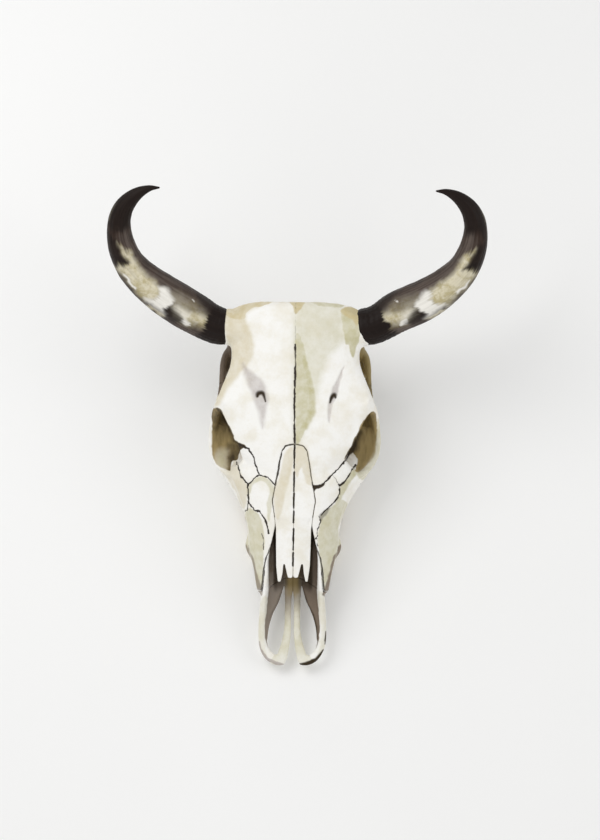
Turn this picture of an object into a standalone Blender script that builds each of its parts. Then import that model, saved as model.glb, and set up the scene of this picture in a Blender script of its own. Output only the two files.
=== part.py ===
"""Life-size skull of horned cattle without its lower jaw, lying on its cheek teeth and jugular processes.

The skull is shaped in its own axes, in metres: across is to the animal's left, along runs to the poll from
the nose, and up stands out of the forehead. The zero point is the middle of the poll. Base pieces, which sit
by the floor, are given by their distance along the floor and their height above it instead.
"""

import math

import bmesh
import bpy
import numpy as np
from mathutils import Matrix, Vector

# Driving sizes, in metres
POLL_HEIGHT = 0.195
REST_TILT = math.radians(15.5)
SEAM_GAP = 0.0003
COARSE_VOXEL = 0.0026
FINE_VOXEL = 0.0021
WHOLE_FACES = 10400
RING_POINTS = 36
STEPS_PER_SPAN = 5

# Nasal bones: half the width of the pair at places along the skull, from the root to the tips
NASAL_HALVES = (
    (0.0050, -0.1950), (0.0125, -0.1972), (0.0172, -0.2035), (0.0205, -0.2200), (0.0230, -0.2370),
    (0.0258, -0.2510), (0.0296, -0.2720), (0.0262, -0.2950), (0.0243, -0.3110), (0.0237, -0.3360),
    (0.0231, -0.3620), (0.0205, -0.3838),
)
NASAL_ROOT = -0.215
NASAL_FREE = 5
NASAL_THICKNESS = 0.0058
NASAL_CUT_DEPTH = 0.0090
NASAL_ARCH = 9.0

# The left nasal bone's free end, from the middle line outward: a middle prong, a notch and a side prong
NASAL_END = (
    (-0.0010, -0.3750), (0.0022, -0.3787), (0.0066, -0.3783), (0.0083, -0.3730), (0.0098, -0.3660),
    (0.0113, -0.3596), (0.0135, -0.3596), (0.0148, -0.3730), (0.0172, -0.3838), (0.0206, -0.3838),
    (0.0222, -0.3770),
)

# The open nose: half its width at places along the skull
NOSE_HALVES = (
    (0.0245, -0.297), (0.0265, -0.3125), (0.0295, -0.326), (0.0330, -0.342), (0.0341, -0.354),
    (0.0335, -0.382), (0.0330, -0.420),
)

# The profile of the forehead and nose along the middle line: (along, up)
PROFILE = (
    (-0.020, 0.001), (-0.140, 0.006), (-0.200, 0.005), (-0.250, 0.002), (-0.300, -0.001), (-0.377, -0.009),
)

# Incisive bones: where their suture with the upper jaw runs, seen from above and in depth
INCISIVE_BACK = (
    (0.0, -0.3780), (0.0120, -0.3800), (0.0235, -0.3860), (0.0330, -0.3930), (0.0430, -0.3970),
    (0.0750, -0.3970),
)
INCISIVE_SUTURE = (
    (0.0290, -0.3290), (0.0330, -0.3410), (0.0375, -0.3520), (0.0400, -0.3660), (0.0430, -0.3970),
)
PROCESS_INNER = 0.0285
NOSE_EDGE_DEPTH = -0.0300
PROCESS_DEPTH = -0.0460
SHELF_UP = -0.0560

# The back end of the hole in the left incisive bone, between its shelf and its middle strip
HOLE_END = (
    (0.0113, -0.3895), (0.0128, -0.3905), (0.0152, -0.3990), (0.0180, -0.4090), (0.0215, -0.4170),
    (0.0215, -0.4210), (0.0113, -0.4210), (0.0110, -0.4050),
)

# Half the width of the gap between the middle strips of the two incisive bones
STRIP_GAP = (
    (0.0004, -0.399), (0.0018, -0.406), (0.0020, -0.430), (0.0018, -0.450), (0.0024, -0.462),
    (0.0042, -0.476), (0.0072, -0.492), (0.0095, -0.520),
)

# Cheek teeth, from the first premolar to the last molar: length along the row and width across it
TOOTH_LENGTHS = (0.0165, 0.0185, 0.0185, 0.0240, 0.0275, 0.0290)
TOOTH_WIDTHS = (0.0150, 0.0180, 0.0200, 0.0225, 0.0235, 0.0220)
TOOTH_ROW_FRONT = -0.3215
TOOTH_ROW_ACROSS = (0.0455, 0.0575)
CROWN_HEIGHT = 0.024
GUM_HEIGHT = 0.034

# Horns: (across, along, up, radius) down the middle line of the left horn
HORN_LINE = (
    (0.0985, -0.0330, -0.0300, 0.0252),
    (0.1095, -0.0315, -0.0300, 0.0258),
    (0.1225, -0.0262, -0.0292, 0.0266),
    (0.1370, -0.0178, -0.0270, 0.0280),
    (0.1560, -0.0070, -0.0220, 0.0287),
    (0.1810, 0.0083, -0.0130, 0.0278),
    (0.2090, 0.0290, 0.0010, 0.0247),
    (0.2300, 0.0516, 0.0160, 0.0212),
    (0.2418, 0.0778, 0.0310, 0.0188),
    (0.2450, 0.1024, 0.0430, 0.0162),
    (0.2420, 0.1198, 0.0510, 0.0146),
    (0.2340, 0.1344, 0.0580, 0.0122),
    (0.2205, 0.1468, 0.0650, 0.0087),
    (0.2045, 0.1541, 0.0700, 0.0046),
    (0.1900, 0.1555, 0.0730, 0.0012),
)
HORN_SIDES = 18
HORN_STEPS = 2

BONE = ("bone", (0.80, 0.77, 0.68, 1.0), 0.62)
HORN = ("horn", (0.07, 0.055, 0.045, 1.0), 0.38)


# Frames

def skull_point(across, forward, height):
    """A point given by its distance behind the poll's foot and its height above the floor, in skull axes."""
    low = height - POLL_HEIGHT
    return (
        across,
        forward * math.cos(REST_TILT) + low * math.sin(REST_TILT),
        low * math.cos(REST_TILT) - forward * math.sin(REST_TILT),
    )


def resting_matrix():
    """Turns skull axes into the frame with the floor at zero height."""
    lift = Matrix.Translation((0.0, 0.0, POLL_HEIGHT))
    return lift @ Matrix.Rotation(REST_TILT, 4, "X")


# Shapes

def eased(rows, steps=STEPS_PER_SPAN):
    """Rows of numbers along a smooth curve through the given rows."""
    table = np.array(rows, float)
    padded = np.vstack([2 * table[0] - table[1], table, 2 * table[-1] - table[-2]])
    found = []
    for i in range(1, len(padded) - 2):
        before, start, end, after = padded[i - 1:i + 3]
        for t in np.arange(steps) / steps:
            found.append(0.5 * (
                2 * start + (end - before) * t
                + (2 * before - 5 * start + 4 * end - after) * t ** 2
                + (3 * start - before - 3 * end + after) * t ** 3
            ))
    found.append(table[-1])
    return np.array(found)


def round_power(value, square):
    """A cosine or sine bent towards a box as square rises above 2."""
    return math.copysign(abs(value) ** (2 / square), value)


def made(name, points, faces):
    """A new object whose faces point out."""
    mesh = bpy.data.meshes.new(name)
    mesh.from_pydata([tuple(p) for p in points], [], faces)
    solid = bmesh.new()
    solid.from_mesh(mesh)
    bmesh.ops.recalc_face_normals(solid, faces=solid.faces)
    solid.to_mesh(mesh)
    solid.free()
    shape = bpy.data.objects.new(name, mesh)
    bpy.context.scene.collection.objects.link(shape)
    return shape


def loft(name, rings):
    """A closed skin of triangles through rings of equal count, with flat ends."""
    count = len(rings[0])
    points = [p for ring in rings for p in ring]
    faces = [tuple(range(count)), tuple(range(len(points) - count, len(points)))]
    for low in range(0, len(points) - count, count):
        for j in range(count):
            k = (j + 1) % count
            faces.append((low + j, low + k, low + count + k))
            faces.append((low + j, low + count + k, low + count + j))
    return made(name, points, faces)


def body(name, stations, square_up=2.4, square_down=3.0, crown=0.0):
    """A mass along the skull. A station is (along, half width, top, waist, bottom)."""
    rings = []
    for along, half, top, waist, bottom in eased(stations):
        ring = []
        for j in range(RING_POINTS):
            angle = 2 * math.pi * j / RING_POINTS
            rising = math.sin(angle) >= 0
            square = square_up if rising else square_down
            reach = top - waist if rising else waist - bottom
            side = round_power(math.cos(angle), square)
            up = waist + reach * round_power(math.sin(angle), square)
            ring.append((half * side, along, up - crown * side * side))
        rings.append(ring)
    return loft(name, rings)


def tube(name, path, wide_axis=(0, 0, 1), sides=14, steps=STEPS_PER_SPAN):
    """A rod. A path row is (across, along, up, radius along wide_axis, radius the other way)."""
    rows = eased(path, steps)
    centres = [Vector(row[:3]) for row in rows]
    rings = []
    for i, row in enumerate(rows):
        ahead = centres[min(i + 1, len(rows) - 1)] - centres[max(i - 1, 0)]
        ahead.normalize()
        wide = Vector(wide_axis)
        wide -= ahead * wide.dot(ahead)
        wide.normalize()
        other = ahead.cross(wide)
        ring = []
        for j in range(sides):
            angle = 2 * math.pi * j / sides
            ring.append(
                centres[i] + wide * (row[3] * math.cos(angle)) + other * (row[4] * math.sin(angle))
            )
        rings.append(ring)
    return loft(name, rings)


def lump(name, centre, radii, turn=(0.0, 0.0, 0.0)):
    """A rounded boss: an ellipsoid turned by degrees about the three axes."""
    solid = bmesh.new()
    bmesh.ops.create_uvsphere(solid, u_segments=24, v_segments=14, radius=1.0)
    spin = Matrix.Rotation(math.radians(turn[2]), 4, "Z")
    spin = spin @ Matrix.Rotation(math.radians(turn[1]), 4, "Y")
    spin = spin @ Matrix.Rotation(math.radians(turn[0]), 4, "X")
    size = Matrix.Diagonal((*radii, 1.0))
    bmesh.ops.transform(solid, matrix=Matrix.Translation(centre) @ spin @ size, verts=solid.verts)
    mesh = bpy.data.meshes.new(name)
    solid.to_mesh(mesh)
    solid.free()
    shape = bpy.data.objects.new(name, mesh)
    bpy.context.scene.collection.objects.link(shape)
    return shape


def plate(name, outline, low, high):
    """A slab over an outline of (across, along) corners. low and high are functions of a corner."""
    count = len(outline)
    points = [(a, b, low(a, b)) for a, b in outline] + [(a, b, high(a, b)) for a, b in outline]
    faces = [tuple(range(count)), tuple(range(count, 2 * count))]
    for j in range(count):
        k = (j + 1) % count
        faces.append((j, k, count + k, count + j))
    return made(name, points, faces)


def flipped(shape):
    """The shape moved to the other side of the middle plane, in place of the one given."""
    twin = mirrored(shape)
    removed([shape])
    return twin


def mirrored(shape):
    """A copy on the other side of the middle plane, its faces turned to point out."""
    mesh = shape.data.copy()
    mesh.transform(Matrix.Diagonal((-1.0, 1.0, 1.0, 1.0)))
    mesh.flip_normals()
    twin = bpy.data.objects.new(shape.name + "_twin", mesh)
    bpy.context.scene.collection.objects.link(twin)
    return twin


def both(*shapes):
    """The given shapes of one side with their twins on the other side."""
    return [*shapes, *[mirrored(shape) for shape in shapes]]


# Joining and cutting

def settled(shape):
    """Makes the shape's modifiers part of its mesh."""
    graph = bpy.context.evaluated_depsgraph_get()
    mesh = bpy.data.meshes.new_from_object(shape.evaluated_get(graph))
    shape.modifiers.clear()
    shape.data = mesh
    return shape


def removed(shapes):
    for shape in shapes:
        bpy.data.objects.remove(shape)


def gathered(name, shapes):
    """One object that holds all the shapes' faces."""
    solid = bmesh.new()
    for shape in shapes:
        solid.from_mesh(shape.data)
    mesh = bpy.data.meshes.new(name)
    solid.to_mesh(mesh)
    solid.free()
    removed(shapes)
    whole = bpy.data.objects.new(name, mesh)
    bpy.context.scene.collection.objects.link(whole)
    return whole


def melted(name, shapes, voxel, smoothing):
    """The shapes grown together as bone is, by a voxel remesh and some smoothing."""
    whole = gathered(name, shapes)
    grow = whole.modifiers.new("grow", "REMESH")
    grow.mode = "VOXEL"
    grow.voxel_size = voxel
    ease = whole.modifiers.new("ease", "SMOOTH")
    ease.factor = 0.5
    ease.iterations = smoothing
    return settled(whole)


def boolean(whole, tools, operation, solver="EXACT", keep_tools=False):
    """Cuts the tools from the whole, or keeps what they share, and makes the result its mesh."""
    for tool in tools:
        step = whole.modifiers.new(operation.lower(), "BOOLEAN")
        step.operation = operation
        step.solver = solver
        step.object = tool
    settled(whole)
    if not keep_tools:
        removed(tools)
    return whole


def largest_surface(shape):
    """Keeps only the biggest of the mesh's separate surfaces."""
    solid = bmesh.new()
    solid.from_mesh(shape.data)
    unseen = set(solid.verts)
    groups = []
    while unseen:
        group = {unseen.pop()}
        front = list(group)
        while front:
            for edge in front.pop().link_edges:
                for vert in edge.verts:
                    if vert in unseen:
                        unseen.discard(vert)
                        group.add(vert)
                        front.append(vert)
        groups.append(group)
    groups.sort(key=len)
    scraps = [vert for group in groups[:-1] for vert in group]
    bmesh.ops.delete(solid, geom=scraps, context="VERTS")
    solid.to_mesh(shape.data)
    solid.free()
    return shape


def thinned(shape, faces):
    """The same surface with about this many triangles."""
    spread = shape.modifiers.new("triangles", "TRIANGULATE")
    spread.quad_method = "SHORTEST_DIAGONAL"
    settled(shape)
    fewer = shape.modifiers.new("fewer", "DECIMATE")
    fewer.ratio = min(1.0, faces / len(shape.data.polygons))
    return settled(shape)


# The skull's masses

def forehead():
    """The broad frontal bones, whose edges are the temple lines and the brows."""
    return body(
        "forehead",
        (
            (0.002, 0.050, -0.012, -0.024, -0.040),
            (-0.004, 0.078, -0.004, -0.026, -0.050),
            (-0.018, 0.092, 0.000, -0.028, -0.056),
            (-0.040, 0.092, 0.002, -0.026, -0.056),
            (-0.060, 0.089, 0.003, -0.019, -0.046),
            (-0.085, 0.090, 0.004, -0.015, -0.037),
            (-0.113, 0.101, 0.005, -0.010, -0.030),
            (-0.132, 0.108, 0.006, -0.006, -0.022),
            (-0.143, 0.1075, 0.006, -0.006, -0.019),
            (-0.152, 0.1025, 0.006, -0.006, -0.019),
            (-0.165, 0.0950, 0.006, -0.006, -0.020),
            (-0.180, 0.0885, 0.006, -0.007, -0.026),
            (-0.200, 0.0805, 0.005, -0.009, -0.034),
            (-0.216, 0.070, 0.004, -0.013, -0.040),
            (-0.236, 0.054, 0.002, -0.016, -0.040),
            (-0.262, 0.036, -0.003, -0.018, -0.036),
        ),
        square_up=2.6,
        square_down=2.6,
        crown=0.007,
    )


def braincase():
    """The narrow case between the temple hollows, running on forward between the eye sockets."""
    return body(
        "braincase",
        (
            (-0.040, 0.060, -0.012, -0.070, -0.124),
            (-0.060, 0.064, -0.010, -0.074, -0.132),
            (-0.090, 0.060, -0.008, -0.072, -0.130),
            (-0.125, 0.052, -0.008, -0.066, -0.122),
            (-0.155, 0.045, -0.008, -0.062, -0.114),
            (-0.195, 0.042, -0.006, -0.060, -0.106),
            (-0.235, 0.046, -0.004, -0.058, -0.100),
        ),
        square_up=2.3,
        square_down=2.3,
    )


def face():
    """The upper jaw bones under the nasals, from the sockets to the front of the cheek."""
    return body(
        "face",
        (
            (-0.200, 0.064, -0.006, -0.050, -0.106),
            (-0.218, 0.082, -0.004, -0.054, -0.108),
            (-0.240, 0.087, 0.000, -0.058, -0.107),
            (-0.260, 0.079, 0.001, -0.058, -0.103),
            (-0.280, 0.071, 0.000, -0.057, -0.097),
            (-0.303, 0.0640, -0.001, -0.055, -0.090),
            (-0.320, 0.0620, -0.003, -0.054, -0.084),
            (-0.336, 0.0625, -0.006, -0.053, -0.080),
            (-0.352, 0.0585, -0.010, -0.052, -0.076),
            (-0.368, 0.0545, -0.014, -0.050, -0.071),
            (-0.384, 0.0520, -0.020, -0.048, -0.067),
            (-0.395, 0.0505, -0.026, -0.048, -0.064),
            (-0.400, 0.0485, -0.032, -0.048, -0.063),
        ),
        square_up=2.5,
        square_down=2.5,
    )


def nuchal_wall():
    """The back of the skull, from the poll down to the joint with the neck."""
    rows = (
        (-0.008, -0.024, 0.084, 0.0220, 3.4, 0.0045),
        (-0.030, -0.025, 0.090, 0.0260, 3.3, 0.0055),
        (-0.055, -0.031, 0.087, 0.0275, 3.2, 0.0060),
        (-0.080, -0.039, 0.084, 0.0265, 2.9, 0.008),
        (-0.105, -0.049, 0.081, 0.0250, 2.5, 0.010),
        (-0.126, -0.057, 0.068, 0.0220, 2.3, 0.010),
        (-0.146, -0.063, 0.050, 0.0180, 2.3, 0.008),
        (-0.160, -0.066, 0.036, 0.0140, 2.3, 0.006),
    )
    rings = []
    for up, along, half, thick, square, sweep in eased(rows):
        ring = []
        for j in range(RING_POINTS):
            angle = 2 * math.pi * j / RING_POINTS
            side = round_power(math.cos(angle), square)
            back = round_power(math.sin(angle), square)
            ring.append((half * side, along + thick * back - sweep * side * side, up))
        rings.append(ring)
    bump = lump("nape_bump", (0, -0.0120, -0.062), (0.030, 0.0090, 0.021), turn=(12, 0, 0))
    return [loft("nuchal_wall", rings), bump]


def temple_base():
    """The temporal bone: its crest beside the nape, the ear opening, the jaw joint and the arch's root."""
    crest = tube(
        "temple_crest",
        (
            (0.0820, -0.0500, -0.0240, 0.0140, 0.0120),
            (0.0850, -0.0520, -0.0450, 0.0100, 0.0090),
            (0.0840, -0.0560, -0.0680, 0.0110, 0.0100),
            (0.0840, -0.0660, -0.0900, 0.0140, 0.0130),
        ),
        wide_axis=(0, 1, 0),
    )
    ear = lump("ear", (0.074, -0.072, -0.104), (0.022, 0.022, 0.020))
    joint = lump("joint", skull_point(0.074, -0.066, 0.078), (0.026, 0.018, 0.012))
    heel = lump("heel", skull_point(0.064, -0.050, 0.068), (0.014, 0.008, 0.014))
    return both(crest, ear, joint, heel)


def skull_base():
    """The bar under the braincase, the joint knobs for the neck and the processes that touch the floor."""
    bar = tube(
        "bar",
        [
            (*skull_point(0, forward, height), deep, wide)
            for forward, height, deep, wide in (
                (-0.004, 0.040, 0.016, 0.028),
                (-0.030, 0.044, 0.016, 0.026),
                (-0.062, 0.056, 0.018, 0.020),
                (-0.100, 0.070, 0.020, 0.017),
                (-0.150, 0.084, 0.022, 0.018),
            )
        ],
    )
    knob = lump("knob", skull_point(0.0285, 0.000, 0.045), (0.0150, 0.018, 0.024), turn=(-18, 26, -20))
    tubercle = lump("tubercle", skull_point(0.016, -0.058, 0.036), (0.009, 0.013, 0.010))
    bulla = lump("bulla", skull_point(0.045, -0.060, 0.046), (0.0095, 0.016, 0.020), turn=(10, 0, 0))
    process = tube(
        "process",
        [
            (*skull_point(across, forward, height), deep, wide)
            for across, forward, height, deep, wide in (
                (0.060, -0.040, 0.100, 0.018, 0.016),
                (0.064, -0.034, 0.068, 0.016, 0.012),
                (0.065, -0.029, 0.040, 0.014, 0.0085),
                (0.062, -0.026, 0.018, 0.011, 0.0065),
                (0.058, -0.025, -0.004, 0.0080, 0.0055),
            )
        ],
        wide_axis=(0, 1, 0),
    )
    return [bar, *both(knob, tubercle, bulla, process)]


def cheek_mass():
    """The cheek bone and crest, from under the socket to the knob above the premolars."""
    crest = tube(
        "crest",
        (
            (0.1060, -0.1680, -0.0780, 0.0110, 0.0085),
            (0.1065, -0.1950, -0.0800, 0.0140, 0.0100),
            (0.0990, -0.2180, -0.0780, 0.0160, 0.0110),
            (0.0850, -0.2390, -0.0730, 0.0170, 0.0120),
            (0.0710, -0.2600, -0.0690, 0.0160, 0.0120),
            (0.0610, -0.2850, -0.0660, 0.0120, 0.0100),
            (0.0565, -0.3060, -0.0640, 0.0100, 0.0078),
            (0.0558, -0.3190, -0.0630, 0.0100, 0.0074),
            (0.0594, -0.3350, -0.0620, 0.0100, 0.0082),
            (0.0525, -0.3500, -0.0600, 0.0090, 0.0074),
        ),
    )
    floor = lump("socket_floor", (0.074, -0.205, -0.080), (0.034, 0.044, 0.022), turn=(0, 14, -24))
    bulb = lump("socket_back", (0.080, -0.157, -0.091), (0.032, 0.032, 0.011), turn=(0, 6, -8))
    return both(crest, floor, bulb)


def jaw_rows():
    """The bone that holds the cheek teeth, and the palate between the rows."""
    row = tube(
        "row",
        [
            (*skull_point(across, forward, height), deep, wide)
            for across, forward, height, deep, wide in (
                (0.040, -0.340, 0.040, 0.012, 0.008),
                (0.045, -0.318, 0.040, 0.016, 0.0105),
                (0.050, -0.290, 0.040, 0.018, 0.0125),
                (0.054, -0.255, 0.042, 0.020, 0.0140),
                (0.057, -0.220, 0.044, 0.022, 0.0140),
                (0.057, -0.196, 0.048, 0.022, 0.0130),
                (0.054, -0.182, 0.056, 0.018, 0.0110),
            )
        ],
    )
    return both(row)


def tooth_row():
    """Six cheek teeth of two lobes each, with their chewing surfaces on the floor."""
    teeth = []
    front = TOOTH_ROW_FRONT
    row_length = sum(TOOTH_LENGTHS)
    for number, (length, width) in enumerate(zip(TOOTH_LENGTHS, TOOTH_WIDTHS)):
        share = (front + length / 2 - TOOTH_ROW_FRONT) / row_length
        bow = 0.004 * math.sin(math.pi * share)
        across = TOOTH_ROW_ACROSS[0] + (TOOTH_ROW_ACROSS[1] - TOOTH_ROW_ACROSS[0]) * share + bow
        lobes = 1 if number < 2 else 2
        for lobe in range(lobes):
            lobe_length = length / lobes
            middle = front + lobe_length * (lobe + 0.5)
            rings = []
            for height, shrink in ((-0.003, 0.80), (0.004, 0.94), (CROWN_HEIGHT, 1.0), (GUM_HEIGHT, 0.92)):
                ring = []
                for j in range(16):
                    angle = 2 * math.pi * j / 16
                    out = across + width / 2 * shrink * round_power(math.cos(angle), 2.8)
                    along_row = middle + lobe_length * 0.54 * shrink * round_power(math.sin(angle), 2.8)
                    ring.append(skull_point(out, along_row, height))
                rings.append(ring)
            teeth.append(loft("tooth", rings))
        front += length
    return both(*teeth)


def socket_cutters():
    """The eye sockets, which look outward, forward and a little up."""
    socket = lump("socket", (0.095, -0.190, -0.040), (0.052, 0.0385, 0.0345), turn=(0, -14, -26))
    behind = lump("behind_socket", (0.076, -0.146, -0.052), (0.024, 0.034, 0.026), turn=(0, 0, 16))
    return both(socket, behind)


def temple_cutters():
    """The temple hollows, under the edges of the forehead."""
    hollow = lump("hollow", (0.095, -0.100, -0.050), (0.032, 0.044, 0.025), turn=(-10, 6, 8))
    return both(hollow)


def nose_outline():
    return [*NOSE_HALVES, *[(-across, along) for across, along in reversed(NOSE_HALVES)]]


def nose_cutters():
    """The open nose in front of and under the nasal bones."""
    mouth = plate("nose_mouth", nose_outline(), lambda a, b: -0.056 - 0.03 * (b + 0.34), lambda a, b: 0.03)
    passage = body(
        "passage",
        (
            (-0.232, 0.012, -0.026, -0.036, -0.046),
            (-0.250, 0.024, -0.014, -0.034, -0.056),
            (-0.275, 0.030, -0.010, -0.034, -0.058),
            (-0.300, 0.032, -0.010, -0.034, -0.058),
            (-0.330, 0.032, -0.011, -0.034, -0.057),
        ),
        square_up=2.6,
        square_down=3.0,
    )
    return [mouth, passage]


def palate_cutters():
    """The vault of the palate, the air passage behind it, and the hole for the spinal cord."""
    vault = tube(
        "vault",
        [
            (*skull_point(0, forward, height), deep, wide)
            for forward, height, deep, wide in (
                (-0.190, 0.024, 0.009, 0.032),
                (-0.240, 0.022, 0.012, 0.036),
                (-0.290, 0.022, 0.012, 0.032),
                (-0.340, 0.020, 0.011, 0.026),
                (-0.375, 0.012, 0.010, 0.022),
            )
        ],
    )
    throat = tube(
        "throat",
        [
            (*skull_point(0, forward, height), deep, wide)
            for forward, height, deep, wide in (
                (-0.100, 0.038, 0.018, 0.018),
                (-0.140, 0.046, 0.021, 0.019),
                (-0.178, 0.056, 0.021, 0.018),
                (-0.220, 0.064, 0.014, 0.013),
            )
        ],
    )
    cord_hole = tube(
        "cord_hole",
        [(*skull_point(0, forward, 0.064), 0.0185, 0.0185) for forward in (0.030, 0.000, -0.050)],
    )
    return [vault, throat, cord_hole]


def socket_rims():
    """The raised rings round the eye sockets, broad behind where they part them from the temples."""
    path = [
        (0.0972, -0.1320, -0.0070, 0.0056, 0.0092),
        (0.1030, -0.1395, -0.0160, 0.0056, 0.0095),
        (0.1068, -0.1450, -0.0330, 0.0055, 0.0090),
        (0.1092, -0.1525, -0.0500, 0.0055, 0.0082),
        (0.1115, -0.1660, -0.0660, 0.0059, 0.0074),
        (0.1135, -0.1850, -0.0755, 0.0062, 0.0060),
        (0.1125, -0.2040, -0.0755, 0.0062, 0.0055),
        (0.1050, -0.2210, -0.0700, 0.0062, 0.0055),
        (0.0930, -0.2340, -0.0580, 0.0062, 0.0055),
        (0.0820, -0.2370, -0.0430, 0.0060, 0.0052),
        (0.0740, -0.2310, -0.0280, 0.0052, 0.0048),
        (0.0680, -0.2200, -0.0180, 0.0044, 0.0044),
    ]
    brow = (
        (0.0905, -0.1600, -0.0096, 0.0034, 0.0052),
        (0.0874, -0.1685, -0.0093, 0.0035, 0.0053),
        (0.0841, -0.1770, -0.0091, 0.0036, 0.0052),
        (0.0803, -0.1855, -0.0093, 0.0036, 0.0050),
        (0.0768, -0.1925, -0.0099, 0.0034, 0.0046),
        (0.0715, -0.1985, -0.0106, 0.0032, 0.0042),
        (0.0660, -0.2040, -0.0116, 0.0030, 0.0038),
    )
    return both(tube("rim", path, wide_axis=(1, 0, 0.2)), tube("brow", brow))


def cheek_arches():
    """The bony bridges from the jaw joint to the cheek, beside the temple hollows."""
    path = (
        (0.0820, -0.0620, -0.0980, 0.0150, 0.0100),
        (0.0950, -0.0720, -0.0900, 0.0120, 0.0066),
        (0.1000, -0.0880, -0.0810, 0.0095, 0.0050),
        (0.1008, -0.1080, -0.0755, 0.0080, 0.0046),
        (0.1030, -0.1300, -0.0740, 0.0080, 0.0048),
        (0.1082, -0.1500, -0.0755, 0.0092, 0.0052),
        (0.1120, -0.1740, -0.0790, 0.0100, 0.0056),
    )
    return both(tube("arch", path))


def profile_up(along):
    """The height of the forehead and nose on the middle line."""
    places, heights = zip(*reversed(PROFILE))
    return float(np.interp(along, places, heights))


def nasal_top(across, along):
    """The upper surface of the nasal bones, which fall away to each side."""
    return profile_up(along) - NASAL_ARCH * across * across


def nasal_roof():
    """The free front of the nasal bones, an arched roof over the open nose, set into the face behind.

    It is a little wider and longer than the bones, which are cut out of it.
    """
    rings = []
    spare = 0.0030
    tip_half, tip = NASAL_HALVES[-2][0], NASAL_HALVES[-1][1]
    for half, along in eased([*NASAL_HALVES[NASAL_FREE:-1], (tip_half, tip - spare)], 3):
        sides = np.linspace(-half - spare, half + spare, 13)
        upper = [(across, along, nasal_top(across, along) - 0.0004) for across in sides]
        lower = [(across, along, up - NASAL_THICKNESS) for across, along, up in reversed(upper)]
        rings.append([*upper, *lower])
    return loft("nasal_roof", rings)


def nasal_end_cutters():
    """The space before the left nasal bone's free end."""
    ahead = NASAL_END[-1][1] - 0.030
    outline = [*NASAL_END, (NASAL_END[-1][0] + 0.010, NASAL_END[-1][1]), (NASAL_END[-1][0] + 0.010, ahead)]
    outline.append((NASAL_END[0][0], ahead))
    return [plate("nasal_end", outline, lambda a, b: -0.05, lambda a, b: 0.02)]


def incisive_cutters():
    """The gap between the middle strips of the incisive bones, and the back end of the left one's hole."""
    outline = [*STRIP_GAP, *[(-across, along) for across, along in reversed(STRIP_GAP)]]
    gap = plate("strip_gap", outline, lambda a, b: -0.08, lambda a, b: -0.02)
    return [gap, plate("hole_end", HOLE_END, lambda a, b: -0.10, lambda a, b: -0.02)]


def incisive_bones():
    """The two front bones of the upper jaw, each a side arm, a palate shelf and a middle strip."""
    side_arm = tube(
        "side_arm",
        (
            (0.0345, -0.3300, -0.0250, 0.0085, 0.0032),
            (0.0372, -0.3540, -0.0290, 0.0120, 0.0038),
            (0.0380, -0.3800, -0.0360, 0.0150, 0.0046),
            (0.0390, -0.4050, -0.0430, 0.0150, 0.0052),
            (0.0406, -0.4250, -0.0460, 0.0125, 0.0056),
            (0.0414, -0.4440, -0.0475, 0.0100, 0.0058),
            (0.0414, -0.4610, -0.0480, 0.0080, 0.0060),
            (0.0386, -0.4760, -0.0480, 0.0065, 0.0064),
            (0.0318, -0.4872, -0.0480, 0.0055, 0.0068),
            (0.0232, -0.4930, -0.0480, 0.0050, 0.0070),
            (0.0160, -0.4938, -0.0480, 0.0046, 0.0068),
            (0.0096, -0.4936, -0.0482, 0.0042, 0.0064),
        ),
    )
    shelf = plate(
        "shelf",
        (
            (0.0, -0.385), (0.0095, -0.394), (0.0150, -0.4045), (0.0207, -0.416), (0.0250, -0.4253),
            (0.0286, -0.4345), (0.0314, -0.4437), (0.0328, -0.453), (0.0335, -0.464), (0.0380, -0.470),
            (0.0415, -0.455), (0.0405, -0.420), (0.0400, -0.385),
        ),
        lambda a, b: SHELF_UP - 0.0050 - 0.06 * (b + 0.39),
        lambda a, b: SHELF_UP - 0.06 * (b + 0.39) + 0.45 * max(0.0, a - 0.030),
    )
    strip = tube(
        "strip",
        (
            (0.0050, -0.3780, -0.0595, 0.0045, 0.0060),
            (0.0052, -0.4000, -0.0570, 0.0045, 0.0060),
            (0.0052, -0.4300, -0.0540, 0.0044, 0.0060),
            (0.0056, -0.4500, -0.0515, 0.0044, 0.0062),
            (0.0080, -0.4670, -0.0500, 0.0044, 0.0068),
            (0.0110, -0.4800, -0.0490, 0.0046, 0.0078),
            (0.0150, -0.4920, -0.0485, 0.0044, 0.0078),
        ),
    )
    return both(side_arm, shelf, strip)


def palate_details():
    """The plates beside the throat and the thin keel between the nasal passages."""
    wing = tube(
        "wing",
        [
            (*skull_point(across, forward, height), deep, wide)
            for across, forward, height, deep, wide in (
                (0.0290, -0.210, 0.046, 0.018, 0.0045),
                (0.0270, -0.185, 0.046, 0.020, 0.0036),
                (0.0250, -0.160, 0.050, 0.021, 0.0034),
                (0.0230, -0.135, 0.058, 0.018, 0.0034),
                (0.0210, -0.115, 0.068, 0.012, 0.0040),
            )
        ],
    )
    keel = tube(
        "keel",
        (
            (0.0, -0.240, -0.048, 0.016, 0.0022),
            (0.0, -0.300, -0.052, 0.012, 0.0022),
            (0.0, -0.360, -0.058, 0.008, 0.0024),
            (0.0, -0.388, -0.062, 0.005, 0.0040),
        ),
    )
    return [*both(wing), keel]


def horn_root():
    """The root of the bony core, up to the base of the horn and a little inside it."""
    inner = (0.0640, -0.0380, -0.0320, 0.0275, 0.0275)
    rows = [(a, b, c, r - 0.0005, r - 0.0005) for a, b, c, r in HORN_LINE[:3]]
    return tube("horn_root", (inner, *rows), sides=24)


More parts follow.
